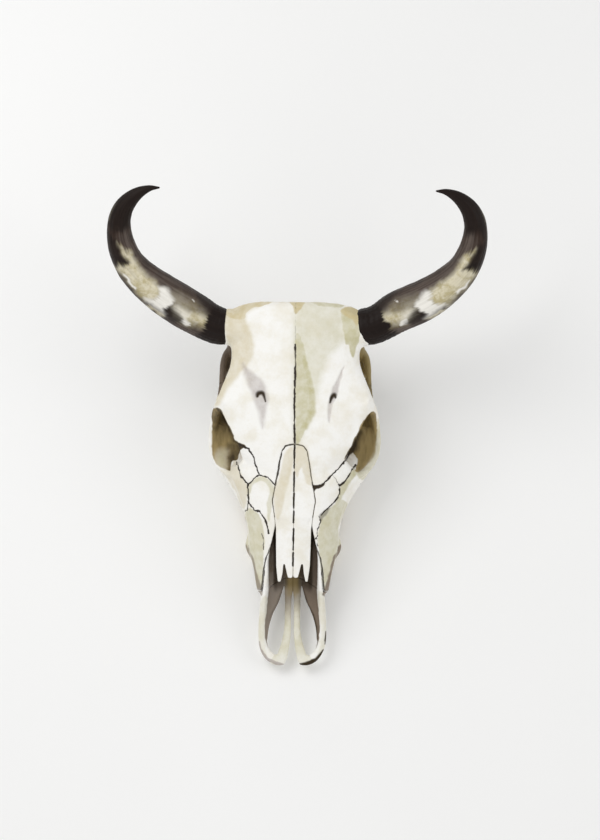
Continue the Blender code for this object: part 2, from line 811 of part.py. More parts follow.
def whole_skull():
    """All bone as one closed surface, with its openings cut."""
    masses = [
        forehead(), braincase(), face(), *nuchal_wall(), *temple_base(), *skull_base(),
        *cheek_mass(), *jaw_rows(), *both(horn_root()),
    ]
    block = melted("block", masses, COARSE_VOXEL, 5)
    cutters = [*temple_cutters(), *socket_cutters(), *nose_cutters(), *palate_cutters()]
    boolean(block, cutters, "DIFFERENCE", solver="MANIFOLD")
    fine = [
        block, *socket_rims(), *cheek_arches(), nasal_roof(), *incisive_bones(),
        *palate_details(), *tooth_row(),
    ]
    skull = melted("skull", fine, FINE_VOXEL, 3)
    return thinned(largest_surface(skull), WHOLE_FACES)


# Parting the separate bones

def nasal_region(grow=0.0):
    """The space of the left nasal bone. Grown, it is the space that the bone and its fitting gap need."""
    inner = SEAM_GAP / 2 - grow
    outline = [
        (across + grow, along + (grow if along > NASAL_ROOT else 0.0)) for across, along in NASAL_HALVES
    ]
    outline.append((outline[-1][0], outline[-1][1] - 0.02))
    rings = []
    for outer, along in outline:
        low = [
            (across, along, nasal_top(across, along) - NASAL_CUT_DEPTH - grow) for across in (inner, outer)
        ]
        rings.append([*low, (outer, along, 0.03), (inner, along, 0.03)])
    return loft("nasal_region", rings)


def incisive_region(grow=0.0):
    """The space of the left incisive bone: all before its back suture, and its process beside the nose."""
    inner = SEAM_GAP / 2 - grow
    ahead = INCISIVE_BACK[-1][1] - 0.12
    back = [(max(across, inner), along + 1.2 * grow) for across, along in INCISIVE_BACK]
    front = plate(
        "incisive_front",
        [*back, (back[-1][0], ahead), (inner, ahead)],
        lambda a, b: -0.10,
        lambda a, b: 0.02,
    )
    below = INCISIVE_BACK[-1][1] - 0.01
    process = plate(
        "incisive_process",
        [
            (PROCESS_INNER - grow, below),
            (PROCESS_INNER - grow, INCISIVE_SUTURE[0][1] + grow),
            *[(across + grow, along + grow) for across, along in INCISIVE_SUTURE],
            (INCISIVE_SUTURE[-1][0] + grow, below),
        ],
        lambda a, b: PROCESS_DEPTH - grow,
        lambda a, b: 0.02,
    )
    return boolean(front, [process], "UNION", solver="MANIFOLD")


def copied(shape, name):
    twin = bpy.data.objects.new(name, shape.data.copy())
    bpy.context.scene.collection.objects.link(twin)
    return twin


def parted(skull):
    """The nasal and incisive bones cut off the skull as bones of their own, by name."""
    bones = {}
    for kind, region, cutters in (
        ("nasal", nasal_region, nasal_end_cutters), ("incisive", incisive_region, incisive_cutters),
    ):
        for side, name in ((1, f"{kind}_left"), (-1, f"{kind}_right")):
            space, gaps = region(), cutters()
            if side < 0:
                space, gaps = flipped(space), [flipped(gap) for gap in gaps]
            bone = boolean(copied(skull, name), [space], "INTERSECT")
            bones[name] = largest_surface(boolean(bone, gaps, "DIFFERENCE"))
    for region in (nasal_region, incisive_region):
        boolean(skull, both(region(SEAM_GAP)), "DIFFERENCE")
    edges = plate("nose_edges", nose_outline(), lambda a, b: NOSE_EDGE_DEPTH, lambda a, b: 0.03)
    boolean(skull, [edges], "DIFFERENCE")
    largest_surface(skull)
    return bones


def horn(side):
    """One horn sheath, from its flat base on the core to its tip."""
    rows = [(a, b, c, r, r) for a, b, c, r in HORN_LINE]
    sheath = tube("horn", rows, sides=HORN_SIDES, steps=HORN_STEPS)
    return sheath if side > 0 else flipped(sheath)


def horn_gap_cutter():
    """The space that a horn and its fitting gap take out of the bone."""
    rows = [(a, b, c, 1.6 * r, 1.6 * r) for a, b, c, r in HORN_LINE[:6]]
    space = tube("horn_gap", rows, sides=24, steps=HORN_STEPS)
    ahead = Vector(HORN_LINE[1][:3]) - Vector(HORN_LINE[0][:3])
    space.data.transform(Matrix.Translation(-ahead.normalized() * SEAM_GAP))
    return space


# Materials and placing

def painted(shape, finish):
    name, colour, roughness = finish
    material = bpy.data.materials.get(name)
    if material is None:
        material = bpy.data.materials.new(name)
        material.use_nodes = True
        shader = material.node_tree.nodes["Principled BSDF"]
        shader.inputs["Base Color"].default_value = colour
        shader.inputs["Roughness"].default_value = roughness
        shader.inputs["Metallic"].default_value = 0.0
    shape.data.materials.clear()
    shape.data.materials.append(material)


def rested(shapes):
    """Lays the shapes on the floor, with the middle of their box over the zero point."""
    for shape in shapes:
        shape.data.transform(resting_matrix())
    corners = np.array([vert.co for shape in shapes for vert in shape.data.vertices])
    low, high = corners.min(0), corners.max(0)
    middle = Vector((0.0, -(low[1] + high[1]) / 2, 0.0))
    for shape in shapes:
        shape.data.transform(Matrix.Translation(middle))


def floor_cutter():
    return plate(
        "below_floor",
        ((-1, -1), (1, -1), (1, 1), (-1, 1)),
        lambda a, b: -0.2,
        lambda a, b: 0.0,
    )


def main():
    for thing in list(bpy.data.objects):
        bpy.data.objects.remove(thing)
    skull = whole_skull()
    boolean(skull, both(horn_gap_cutter()), "DIFFERENCE")
    bones = {"cranium": skull, **parted(skull)}
    horns = {"horn_left": horn(1), "horn_right": horn(-1)}
    for name, shape in (*bones.items(), *horns.items()):
        shape.name = name
        painted(shape, HORN if name in horns else BONE)
    shapes = [*bones.values(), *horns.values()]
    rested(shapes)
    boolean(skull, [floor_cutter()], "DIFFERENCE")
    largest_surface(skull)
    for shape in shapes:
        shape.data.shade_smooth()


main()
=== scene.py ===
"""The looks of a horned cattle skull that lies on the floor, in metres.

Places on the skull are given in skull axes: across (towards the animal's left), along (0 at the poll and
falling towards the nose) and up (out of the forehead).
"""

import math

import bpy
import numpy as np
from mathutils import Matrix, Vector
from mathutils.bvhtree import BVHTree
from mathutils.kdtree import KDTree


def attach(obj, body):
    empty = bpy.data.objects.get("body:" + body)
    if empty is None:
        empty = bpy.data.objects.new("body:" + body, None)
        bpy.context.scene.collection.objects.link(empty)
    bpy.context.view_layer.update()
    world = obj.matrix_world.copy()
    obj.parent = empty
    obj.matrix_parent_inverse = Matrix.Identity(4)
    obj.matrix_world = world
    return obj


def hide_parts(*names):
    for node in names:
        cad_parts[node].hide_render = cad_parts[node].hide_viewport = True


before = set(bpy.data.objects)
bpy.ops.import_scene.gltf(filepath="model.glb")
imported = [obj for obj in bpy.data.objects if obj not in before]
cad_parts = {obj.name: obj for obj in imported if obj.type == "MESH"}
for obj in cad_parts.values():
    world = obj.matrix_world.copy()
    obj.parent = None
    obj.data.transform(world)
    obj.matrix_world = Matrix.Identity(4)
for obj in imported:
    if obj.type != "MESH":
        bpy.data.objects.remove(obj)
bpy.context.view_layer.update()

# Skull axes, as the skull rests on its teeth and jugular processes
POLL = np.array((0.0, 0.1676, 0.195))
REST_TILT = math.radians(15.5)
SKULL_AXES = np.array((
    (1.0, 0.0, 0.0),
    (0.0, math.cos(REST_TILT), math.sin(REST_TILT)),
    (0.0, -math.sin(REST_TILT), math.cos(REST_TILT)),
))

# Surface fineness, and the rounds of evening out that take the solids' facets off
CRANIUM_VOXEL = 0.0010
CRANIUM_ROUNDS = 14
SMALL_BONE_VOXEL = 0.0007
SMALL_BONE_ROUNDS = 10
SHARP_EDGE = math.radians(55)
WELD_REACH = 0.00001

# Named sizes of the skull
SOCKET_CENTRE = (0.095, -0.190, -0.040)
SOCKET_RADII = (0.052, 0.0385, 0.0345)
SOCKET_TURN = (0.0, -14.0, -26.0)

# Rows of (along, value) that rise in along
PROFILE = (
    (-0.377, -0.009), (-0.300, -0.001), (-0.250, 0.002), (-0.200, 0.005), (-0.140, 0.006), (-0.020, 0.001),
)
NOSE_OPENING = (
    (-0.420, 0.0330), (-0.382, 0.0335), (-0.354, 0.0341), (-0.342, 0.0330), (-0.326, 0.0295),
    (-0.3125, 0.0265), (-0.297, 0.0245),
)
SLOPE_OUTER = ((-0.475, 0.0340), (-0.461, 0.0372), (-0.445, 0.0380), (-0.4215, 0.0356), (-0.398, 0.0332))
HOLE_OUTER = (
    (-0.475, 0.0339), (-0.461, 0.0340), (-0.4452, 0.0328), (-0.4294, 0.0284), (-0.415, 0.0205),
    (-0.399, 0.0152), (-0.390, 0.0125),
)
STRIP_OUTER = ((-0.495, 0.0300), (-0.480, 0.0200), (-0.467, 0.0160), (-0.450, 0.0128), (-0.430, 0.0112))

# Colours, as 8-bit values of red, green and blue
BONE_PALE = (250, 249, 245)
BONE_WARM = (240, 236, 224)
BONE_KHAKI = (192, 186, 142)
BONE_TAN = (204, 188, 142)
BONE_MAUVE = (158, 144, 140)
SEAM_BROWN = (44, 35, 27)
# Brown, slate and dark are stains, and also painted shade in the eye sockets, the nose, the small holes and
# under the nasal bones
STAIN_AND_SHADE_BROWN = (160, 138, 84)
STAIN_AND_SHADE_SLATE = (128, 113, 98)
STAIN_AND_SHADE_DARK = (50, 37, 14)
# Grime, and painted shade in the hollows
GRIME_AND_SHADE = (176, 160, 126)
ENAMEL = (232, 224, 202)
DENTINE = (176, 148, 98)
TARTAR = (96, 76, 50)
HORN_BLACK = (24, 15, 11)
HORN_BROWN = (56, 42, 34)
HORN_GREY = (104, 93, 86)
HORN_CREAM = (230, 222, 196)
HORN_KHAKI = (196, 184, 142)
# Horn white, also used for a painted highlight
HORN_WHITE_AND_HIGHLIGHT = (244, 241, 233)
FLOOR_WHITE = (250, 250, 249)
FLOOR_SHADE = (247, 247, 246)


def linear(colour):
    """An 8-bit colour as the render's linear colour with full opacity."""
    shares = [channel / 255 for channel in colour]
    return (*[s / 12.92 if s <= 0.04045 else ((s + 0.055) / 1.055) ** 2.4 for s in shares], 1.0)


# Places, noise and masks

def to_skull(points):
    return (points - POLL) @ SKULL_AXES.T


def from_skull(points):
    return np.asarray(points) @ SKULL_AXES + POLL


LATTICE_SIZE = 8192
LATTICE = np.random.default_rng(11).random(LATTICE_SIZE) * 2 - 1


def noise(points, size, seed=0):
    """Smooth noise from -1 to 1, with lumps of about the given size."""
    scaled = points / size + 13.7 * (seed + 1)
    base = np.floor(scaled).astype(np.int64)
    share = scaled - base
    share = share * share * (3 - 2 * share)
    total = np.zeros(len(points))
    for corner in range(8):
        step = np.array((corner & 1, corner >> 1 & 1, corner >> 2 & 1))
        cell = base + step
        key = (cell[:, 0] * 73856093) ^ (cell[:, 1] * 19349663) ^ (cell[:, 2] * 83492791)
        total += np.prod(np.where(step, share, 1 - share), axis=1) * LATTICE[key & (LATTICE_SIZE - 1)]
    return total


def layered(points, size, octaves=3, seed=0):
    """Noise with finer noise on it."""
    total = np.zeros(len(points))
    for octave in range(octaves):
        total += noise(points, size / 2 ** octave, seed + octave) / 2 ** octave
    return total


def smooth_step(low, high, values):
    share = np.clip((values - low) / (high - low), 0, 1)
    return share * share * (3 - 2 * share)


def line_distance(points, line):
    """How far points are from a line of straight stretches, and how far along it their nearest place is."""
    away = np.full(len(points), np.inf)
    reach = np.zeros(len(points))
    done = 0.0
    for start, end in zip(line[:-1], line[1:]):
        way = end - start
        length = float(np.linalg.norm(way))
        share = np.clip((points - start) @ way / length ** 2, 0, 1)
        found = np.linalg.norm(points - start - share[:, None] * way, axis=1)
        closer = found < away
        away[closer] = found[closer]
        reach[closer] = done + share[closer] * length
        done += length
    return away, reach


def eased(rows, steps):
    """Rows of numbers along a smooth curve through the given rows."""
    table = np.array(rows, float)
    padded = np.vstack([2 * table[0] - table[1], table, 2 * table[-1] - table[-2]])
    found = []
    for i in range(1, len(padded) - 2):
        before, start, end, after = padded[i - 1:i + 3]
        for t in np.arange(steps) / steps:
            found.append(0.5 * (
                2 * start + (end - before) * t
                + (2 * before - 5 * start + 4 * end - after) * t ** 2
                + (3 * start - before - 3 * end + after) * t ** 3
            ))
    found.append(table[-1])
    return np.array(found)


def value_at(rows, places):
    """The values that rows of (place, value) give, in straight stretches."""
    return np.interp(places, *zip(*rows))


def within(flat, outline):
    """Whether points lie inside a closed outline."""
    found = np.zeros(len(flat), bool)
    for start, end in zip(outline[:-1], outline[1:]):
        crossed = (start[1] > flat[:, 1]) != (end[1] > flat[:, 1])
        slant = (end[0] - start[0]) / (end[1] - start[1]) if end[1] != start[1] else 0.0
        found ^= crossed & (flat[:, 0] < start[0] + slant * (flat[:, 1] - start[1]))
    return found


def stain(flat, outline, soft):
    """A mask that is 1 inside a closed outline with rounded corners and fades out over its edge."""
    smooth = eased([outline[-1], *outline, *outline[:2]], 4)[4:-4]
    near = np.all((flat > smooth.min(0) - soft) & (flat < smooth.max(0) + soft), axis=1)
    chosen = flat[near]
    away, _ = line_distance(chosen, smooth)
    away[within(chosen, smooth)] *= -1
    mask = np.zeros(len(flat))
    mask[near] = 1 - smooth_step(-soft, soft, away)
    return mask


def millimetres(rows):
    """Rows given in millimetres, in metres."""
    return np.array(rows) / 1000


def tenths(rows):
    """Rows given in tenths of a millimetre, in metres."""
    return np.array(rows) / 10000


def wander(points, size, seed):
    """Two columns of noise, which shift places on a flat."""
    return np.stack([noise(points, size, seed + i) for i in range(2)], axis=1)


# Meshes

def linked(name, data):
    """A new object in the scene."""
    thing = bpy.data.objects.new(name, data)
    bpy.context.scene.collection.objects.link(thing)
    return thing


def piece(name, mesh, material, slot, *nodes):
    """Makes the mesh a piece of the skull that stands for the named nodes."""
    thing = linked(name, mesh)
    mesh.materials.clear()
    mesh.materials.append(material)
    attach(thing, "root")
    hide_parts(*nodes)
    return thing


def mesh_of(name, points, faces):
    mesh = bpy.data.meshes.new(name)
    mesh.from_pydata([tuple(p) for p in points], [], faces)
    mesh.shade_smooth()
    return mesh


def evaluated(name, mesh, modifiers):
    """The mesh after Blender modifiers, each given as (kind, settings)."""
    thing = linked(name, mesh)
    for kind, settings in modifiers:
        modifier = thing.modifiers.new(kind.lower(), kind)
        for key, value in settings.items():
            setattr(modifier, key, value)
    found = bpy.data.meshes.new_from_object(thing.evaluated_get(bpy.context.evaluated_depsgraph_get()))
    bpy.data.objects.remove(thing)
    return found


def rows_of(items, key, width, kind=np.float32):
    """What each item of a mesh holds under a key, a row for each."""
    flat = np.empty(len(items) * width, kind)
    items.foreach_get(key, flat)
    return flat.reshape(-1, width)


def points_of(mesh):
    return rows_of(mesh.vertices, "co", 3).astype(float)


def normals_of(mesh):
    return rows_of(mesh.vertex_normals, "vector", 3).astype(float)


def edges_of(mesh):
    return rows_of(mesh.edges, "vertices", 2, np.int32)


def write_masks(mesh, masks):
    """Gives each point of the mesh its values, for the material to read."""
    for name, values in masks.items():
        attribute = mesh.attributes.new(name, "FLOAT", "POINT")
        attribute.data.foreach_set("value", np.array(values, np.float32))


def averaged(values, edges, rounds):
    """Values evened out over a mesh, half way to the neighbours' mean in each round."""
    count = np.bincount(edges.ravel(), minlength=len(values))
    for _ in range(rounds):
        total = np.bincount(edges[:, 0], values[edges[:, 1]], len(values))
        total += np.bincount(edges[:, 1], values[edges[:, 0]], len(values))
        values = 0.5 * values + 0.5 * total / count
    return values


def softened(points, edges, rounds, repeats):
    """Points without the facets of the solid. What the evening takes off wide forms is given back."""
    found = np.zeros_like(points)
    left = points
    for _ in range(repeats):
        soft = np.stack([averaged(left[:, i], edges, rounds) for i in range(3)], axis=1)
        found = found + soft
        left = points - found
    return found


def creased(mesh):
    """Marks the edges that stay sharp when the mesh is subdivided."""
    normals = {}
    for polygon in mesh.polygons:
        for key in polygon.edge_keys:
            normals.setdefault(key, []).append(polygon.normal)
    sharp = []
    for edge in mesh.edges:
        pair = normals.get(edge.key, ())
        sharp.append(len(pair) == 2 and pair[0].angle(pair[1], 0.0) > SHARP_EDGE)
    crease = mesh.attributes.new("crease_edge", "FLOAT", "EDGE")
    crease.data.foreach_set("value", np.array(sharp, np.float32))


def welded(mesh):
    """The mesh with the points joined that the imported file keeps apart."""
    return evaluated("welded", mesh, [("WELD", {"merge_threshold": WELD_REACH})])


def fine_mesh(node, voxel, rounds, cutter=None):
    """The node's solid with its facets rounded into a smooth and even fine surface."""
    mesh = welded(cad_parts[node].data.copy())
    if cutter is not None:
        mesh = evaluated(node + "_cut", mesh, [("BOOLEAN", {"object": cutter, "operation": "DIFFERENCE"})])
    creased(mesh)
    mesh = evaluated(node + "_fine", mesh, [
        ("SUBSURF", {"levels": 2, "render_levels": 2}),
        ("REMESH", {"mode": "VOXEL", "voxel_size": voxel, "adaptivity": 0.0}),
    ])
    edges = edges_of(mesh)
    points = softened(points_of(mesh), edges, rounds, 2)
    mesh.vertices.foreach_set("co", points.astype(np.float32).ravel())
    mesh.update()
    mesh.shade_smooth()
    return mesh


# The masks that the bone's material reads
MASKS = ("seam", "khaki", "tan", "mauve", "slate", "brown", "dark", "hollow")


class Surface:
    """A fine bone, with its points and normals in skull axes, its masks and its relief."""

    def __init__(self, mesh):
        self.mesh = mesh
        self.points = to_skull(points_of(mesh))
        self.normals = normals_of(mesh) @ SKULL_AXES.T
        self.rise = np.zeros(len(self.points))
        self.masks = {name: np.zeros(len(self.points)) for name in MASKS}

    def add(self, name, values):
        """Puts a mask on top of what is there."""
        self.masks[name] = np.maximum(self.masks[name], values)

    def finish(self):
        """Writes the relief and the masks to the mesh."""
        moved = from_skull(self.points + self.normals * self.rise[:, None])
        moved[:, 2] = np.maximum(moved[:, 2], 0.0)
        self.mesh.vertices.foreach_set("co", moved.astype(np.float32).ravel())
        self.mesh.update()
        write_masks(self.mesh, {name: np.clip(values, 0, 1) for name, values in self.masks.items()})


# Hollowness, felt from the solids, for the grime and painted shade in the hollows

FACING_LIFT = 0.010
RAY_START = 0.0015
RAY_REACH = 0.070
RAYS = 40
FELT_PLACES = 3


def hollowness():
    """For each point of the bone solids, how much of the space before it other bone closes off."""
    golden = math.pi * (3 - math.sqrt(5))
    nodes = [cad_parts[name] for name in sorted(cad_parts)]
    trees = [BVHTree.FromPolygons(
        [v.co for v in node.data.vertices], [p.vertices for p in node.data.polygons]) for node in nodes]
    places = []
    found = []
    for node in nodes:
        if node.name.startswith("horn"):
            continue
        for vertex in node.data.vertices:
            normal = vertex.normal
            side = normal.orthogonal().normalized()
            other = normal.cross(side)
            start = vertex.co + normal * RAY_START
            closed = 0
            for i in range(RAYS):
                lift = math.sqrt(1 - (i + 0.5) / RAYS)
                flat = math.sqrt(1 - lift * lift)
                way = normal * lift + (side * math.cos(golden * i) + other * math.sin(golden * i)) * flat
                if any(tree.ray_cast(start, way, RAY_REACH)[0] is not None for tree in trees):
                    closed += 1
            places.append(vertex.co + normal * FACING_LIFT)
            found.append(closed / RAYS)
    tree = KDTree(len(places))
    for i, place in enumerate(places):
        tree.insert(place, i)
    tree.balance()
    return tree, np.array(found)


def grime_and_shade(surface, felt, share=1.0):
    """Marks grime and painted shade in the hollows, as felt on the solids. The open upper side has none of
    it.
    """
    tree, found = felt
    values = np.empty(len(surface.points))
    for i, place in enumerate(from_skull(surface.points + surface.normals * FACING_LIFT)):
        near = tree.find_n(place, FELT_PLACES)
        weights = np.array([1 / (distance + 0.0005) for _, _, distance in near])
        values[i] = (found[[index for _, index, _ in near]] * weights).sum() / weights.sum()
    heights = value_at(PROFILE, surface.points[:, 1])
    raised = smooth_step(-0.012, -0.009, surface.points[:, 2] - heights)
    values = averaged(values, edges_of(surface.mesh), 6)
    surface.masks["hollow"] = share * values * (1 - raised * smooth_step(0.5, 0.75, surface.normals[:, 2]))


# Sutures on the upper side, as (across, along) in tenths of a millimetre. Each side has its own lines.

MIDLINE = ((-8, 60), (-9, -570), (-4, -854), (-8, -1400), (2, -2010))
SUTURES_RIGHT = (
    (
        (-763, -1959), (-633, -2015), (-568, -2126), (-501, -2329), (-481, -2375), (-371, -2403),
        (-268, -2503),
    ),
    ((-800, -2200), (-730, -2403), (-655, -2495), (-627, -2523)),
    ((-627, -2503), (-564, -2439), (-500, -2384)),
    ((-687, -2894), (-643, -2859), (-627, -2754), (-637, -2578), (-649, -2506)),
    ((-627, -2754), (-547, -2859), (-476, -2877), (-405, -2965), (-359, -3087), (-340, -3175)),
)
SUTURES_LEFT = (
    ((752, -2055), (709, -2150), (668, -2209), (533, -2350), (404, -2490), (295, -2531)),
    ((850, -2215), (773, -2325), (712, -2440), (640, -2505), (616, -2495)),
    ((532, -2366), (588, -2439), (626, -2495), (637, -2568)),
    ((635, -2568), (636, -2614), (593, -2700), (489, -2806), (385, -2911)),
)
SOFT_SUTURES = (SUTURES_LEFT[2],)
THIN_SUTURES = (
    ((-428, -3175), (-408, -3404)),
    ((245, -3290), (319, -3228)),
    ((351, -2918), (375, -2998), (337, -3108), (326, -3235), (332, -3345)),
)
NASAL_HALVES = (
    (0, -1945),
    (50, -1950), (125, -1972), (172, -2035), (205, -2200), (230, -2370), (258, -2510), (296, -2720),
    (262, -2950),
)
NASAL_UPPER = NASAL_HALVES[:7]
INCISIVE_SUTURE = ((290, -3290), (330, -3410), (375, -3520), (400, -3660), (430, -3970))


# How far from its line a suture is still looked for
SEAM_MARGIN = 0.006


def seam(surface, line, facing, width=0.0011, depth=0.0009, strength=1.0, columns=(0, 1), wiggle=0.0011,
         gaps=0.0):
    """Sinks a jagged suture into the surface along a line on two of the skull axes."""
    line = np.array(line, float)
    flat = surface.points[:, columns]
    near = np.all((flat > line.min(0) - SEAM_MARGIN) & (flat < line.max(0) + SEAM_MARGIN), axis=1)
    near &= facing
    chosen = surface.points[near]
    wave = wander(chosen, 0.0022, 3) + 0.8 * wander(chosen, 0.0060, 5)
    away, reach = line_distance(flat[near] + wiggle * wave, line)
    course = np.stack([reach, 0 * reach, 0 * reach], axis=1)
    thick = 1 + 0.5 * noise(course, 0.0065, int(1000 * abs(line[0, 0])))
    fade = np.exp(-(away / (width * thick)) ** 2)
    if gaps:
        broken = noise(course, 0.008, int(1000 * abs(line[-1, 1])))
        fade *= 1 - gaps * smooth_step(0.0, 0.5, broken)
    surface.rise[near] -= depth * fade
    mask = np.zeros(len(surface.points))
    mask[near] = strength * fade
    surface.add("seam", mask)


def upward(surface, least=0.15):
    return surface.normals[:, 2] > least


def bone_edges(surface, top):
    """The lines round the nasal and incisive bones, on both sides of their gaps. One nasal root is darker."""
    for side, strength, rows in ((1, 0.50, NASAL_HALVES), (-1, 0.50, NASAL_HALVES), (-1, 1.0, NASAL_UPPER)):
        edge = tenths(rows) * (side, 1)
        seam(surface, edge, top, width=0.0010, depth=0.0003, strength=strength, wiggle=0.0004)
    for side in (1, -1):
        edge = tenths(INCISIVE_SUTURE) * (side, 1)
        seam(surface, edge, top, width=0.0013, depth=0.0003, strength=1.0, wiggle=0.0003, gaps=0.2)


def cranium_sutures(surface):
    top = upward(surface)
    middle = tenths(MIDLINE)
    seam(surface, middle[:2], top, width=0.0007, depth=0.0005, strength=0.45, wiggle=0.0005)
    seam(surface, middle[1:], top, width=0.0014, depth=0.0012, wiggle=0.0005, gaps=0.35)
    for line in (*SUTURES_RIGHT, *SUTURES_LEFT):
        seam(surface, tenths(line), top, strength=0.55 if line in SOFT_SUTURES else 1.0, wiggle=0.0008)
    for line in THIN_SUTURES:
        seam(surface, tenths(line), top, width=0.0009, depth=0.0004, strength=0.8, gaps=0.4)
    bone_edges(surface, top)


# Sutures that only show from the sides, over the cheek arch and between cheek and upper jaw, as (along, up)
SIDE_SUTURES = (
    ((-1110, -690), (-1180, -760), (-1300, -790), (-1420, -850)),
    ((-2500, -680), (-2440, -760), (-2280, -900)),
    ((-330, -640), (-550, -560), (-800, -580), (-1000, -680)),
)


def side_sutures(surface):
    for side in (1, -1):
        outward = surface.normals[:, 0] * side > 0.25
        outward &= surface.points[:, 0] * side > 0.03
        for line in SIDE_SUTURES:
            seam(surface, tenths(line), outward, 0.0009, 0.0007, 0.8, columns=(1, 2), gaps=0.3)


# Holes and grooves

def pit(surface, centre, radius, depth, columns, facing):
    """A small hole for vessels and nerves, painted dark inside as shade."""
    away = np.linalg.norm(surface.points[:, columns] - np.array(centre), axis=1)
    fade = np.exp(-(away / radius) ** 4)
    fade[~facing] = 0
    surface.rise -= depth * fade
    surface.add("dark", 0.9 * fade)


# The grooves over the eyes as (softness, strength, outline of (across, along)), and the hooked holes in them
# as (across, along, radius), in millimetres
BROW_GROOVES = (
    (3.8, 0.56, (
        (-73, -84), (-66, -91), (-55, -100), (-45, -109), (-40, -119), (-37, -131), (-39, -146),
        (-41, -158), (-44, -173), (-48, -161), (-52, -146), (-57, -133), (-62, -121), (-68, -106),
        (-72, -94),
    )),
    (1.8, 0.56, (
        (67, -86), (65, -96), (62, -109), (59, -121), (56, -131), (51, -140), (50, -151), (48, -164),
        (45, -152), (45, -140), (48, -131), (51, -117), (57, -106), (63, -93),
    )),
)
BROW_HOLES = (
    (
        (-52.4, -129, 2), (-51.6, -125.7, 3.1), (-48.8, -124.3, 3.1), (-45.2, -124.6, 2.9),
        (-42.8, -129.5, 1.7), (-40.9, -136.2, 0.9),
    ),
    ((48.4, -136.5, 1.1), (49.9, -130.5, 2.4), (52.2, -127, 3), (54.6, -125.8, 2.9), (55.8, -129.5, 1.3)),
)


def brow_grooves(surface):
    """The groove over each eye, with the hole of its vessels in it, painted dark as shade."""
    top = upward(surface, 0.4)
    flat = surface.points[:, :2]
    wave = wander(surface.points, 0.007, 1)
    for (soft, strength, outline), hole in zip(BROW_GROOVES, BROW_HOLES):
        fade = stain(flat + 0.0009 * wave, millimetres(outline), soft / 1000) * top
        surface.rise -= 0.0013 * fade
        surface.add("mauve", strength * fade)
        dark = np.zeros(len(flat))
        for across, along, radius in eased(millimetres(hole), 8):
            away = np.hypot(flat[:, 0] - across, flat[:, 1] - along)
            dark = np.maximum(dark, np.exp(-(away / radius) ** 4))
        surface.rise -= 0.0028 * dark * top
        surface.add("dark", dark * top)


def vessel_holes(surface):
    """The smaller holes of the cheek and the temple."""
    for side in (1, -1):
        outward = (surface.normals[:, 0] * side > 0.2) & (surface.points[:, 0] * side > 0.025)
        pit(surface, (-0.3380, -0.0470), 0.0030, 0.0045, columns=(1, 2), facing=outward)
        pit(surface, (-0.0700, -0.1010), 0.0036, 0.0060, columns=(1, 2), facing=outward)


# Stains on the upper side, as (mask, softness, strength, outline of (across, along)), in millimetres

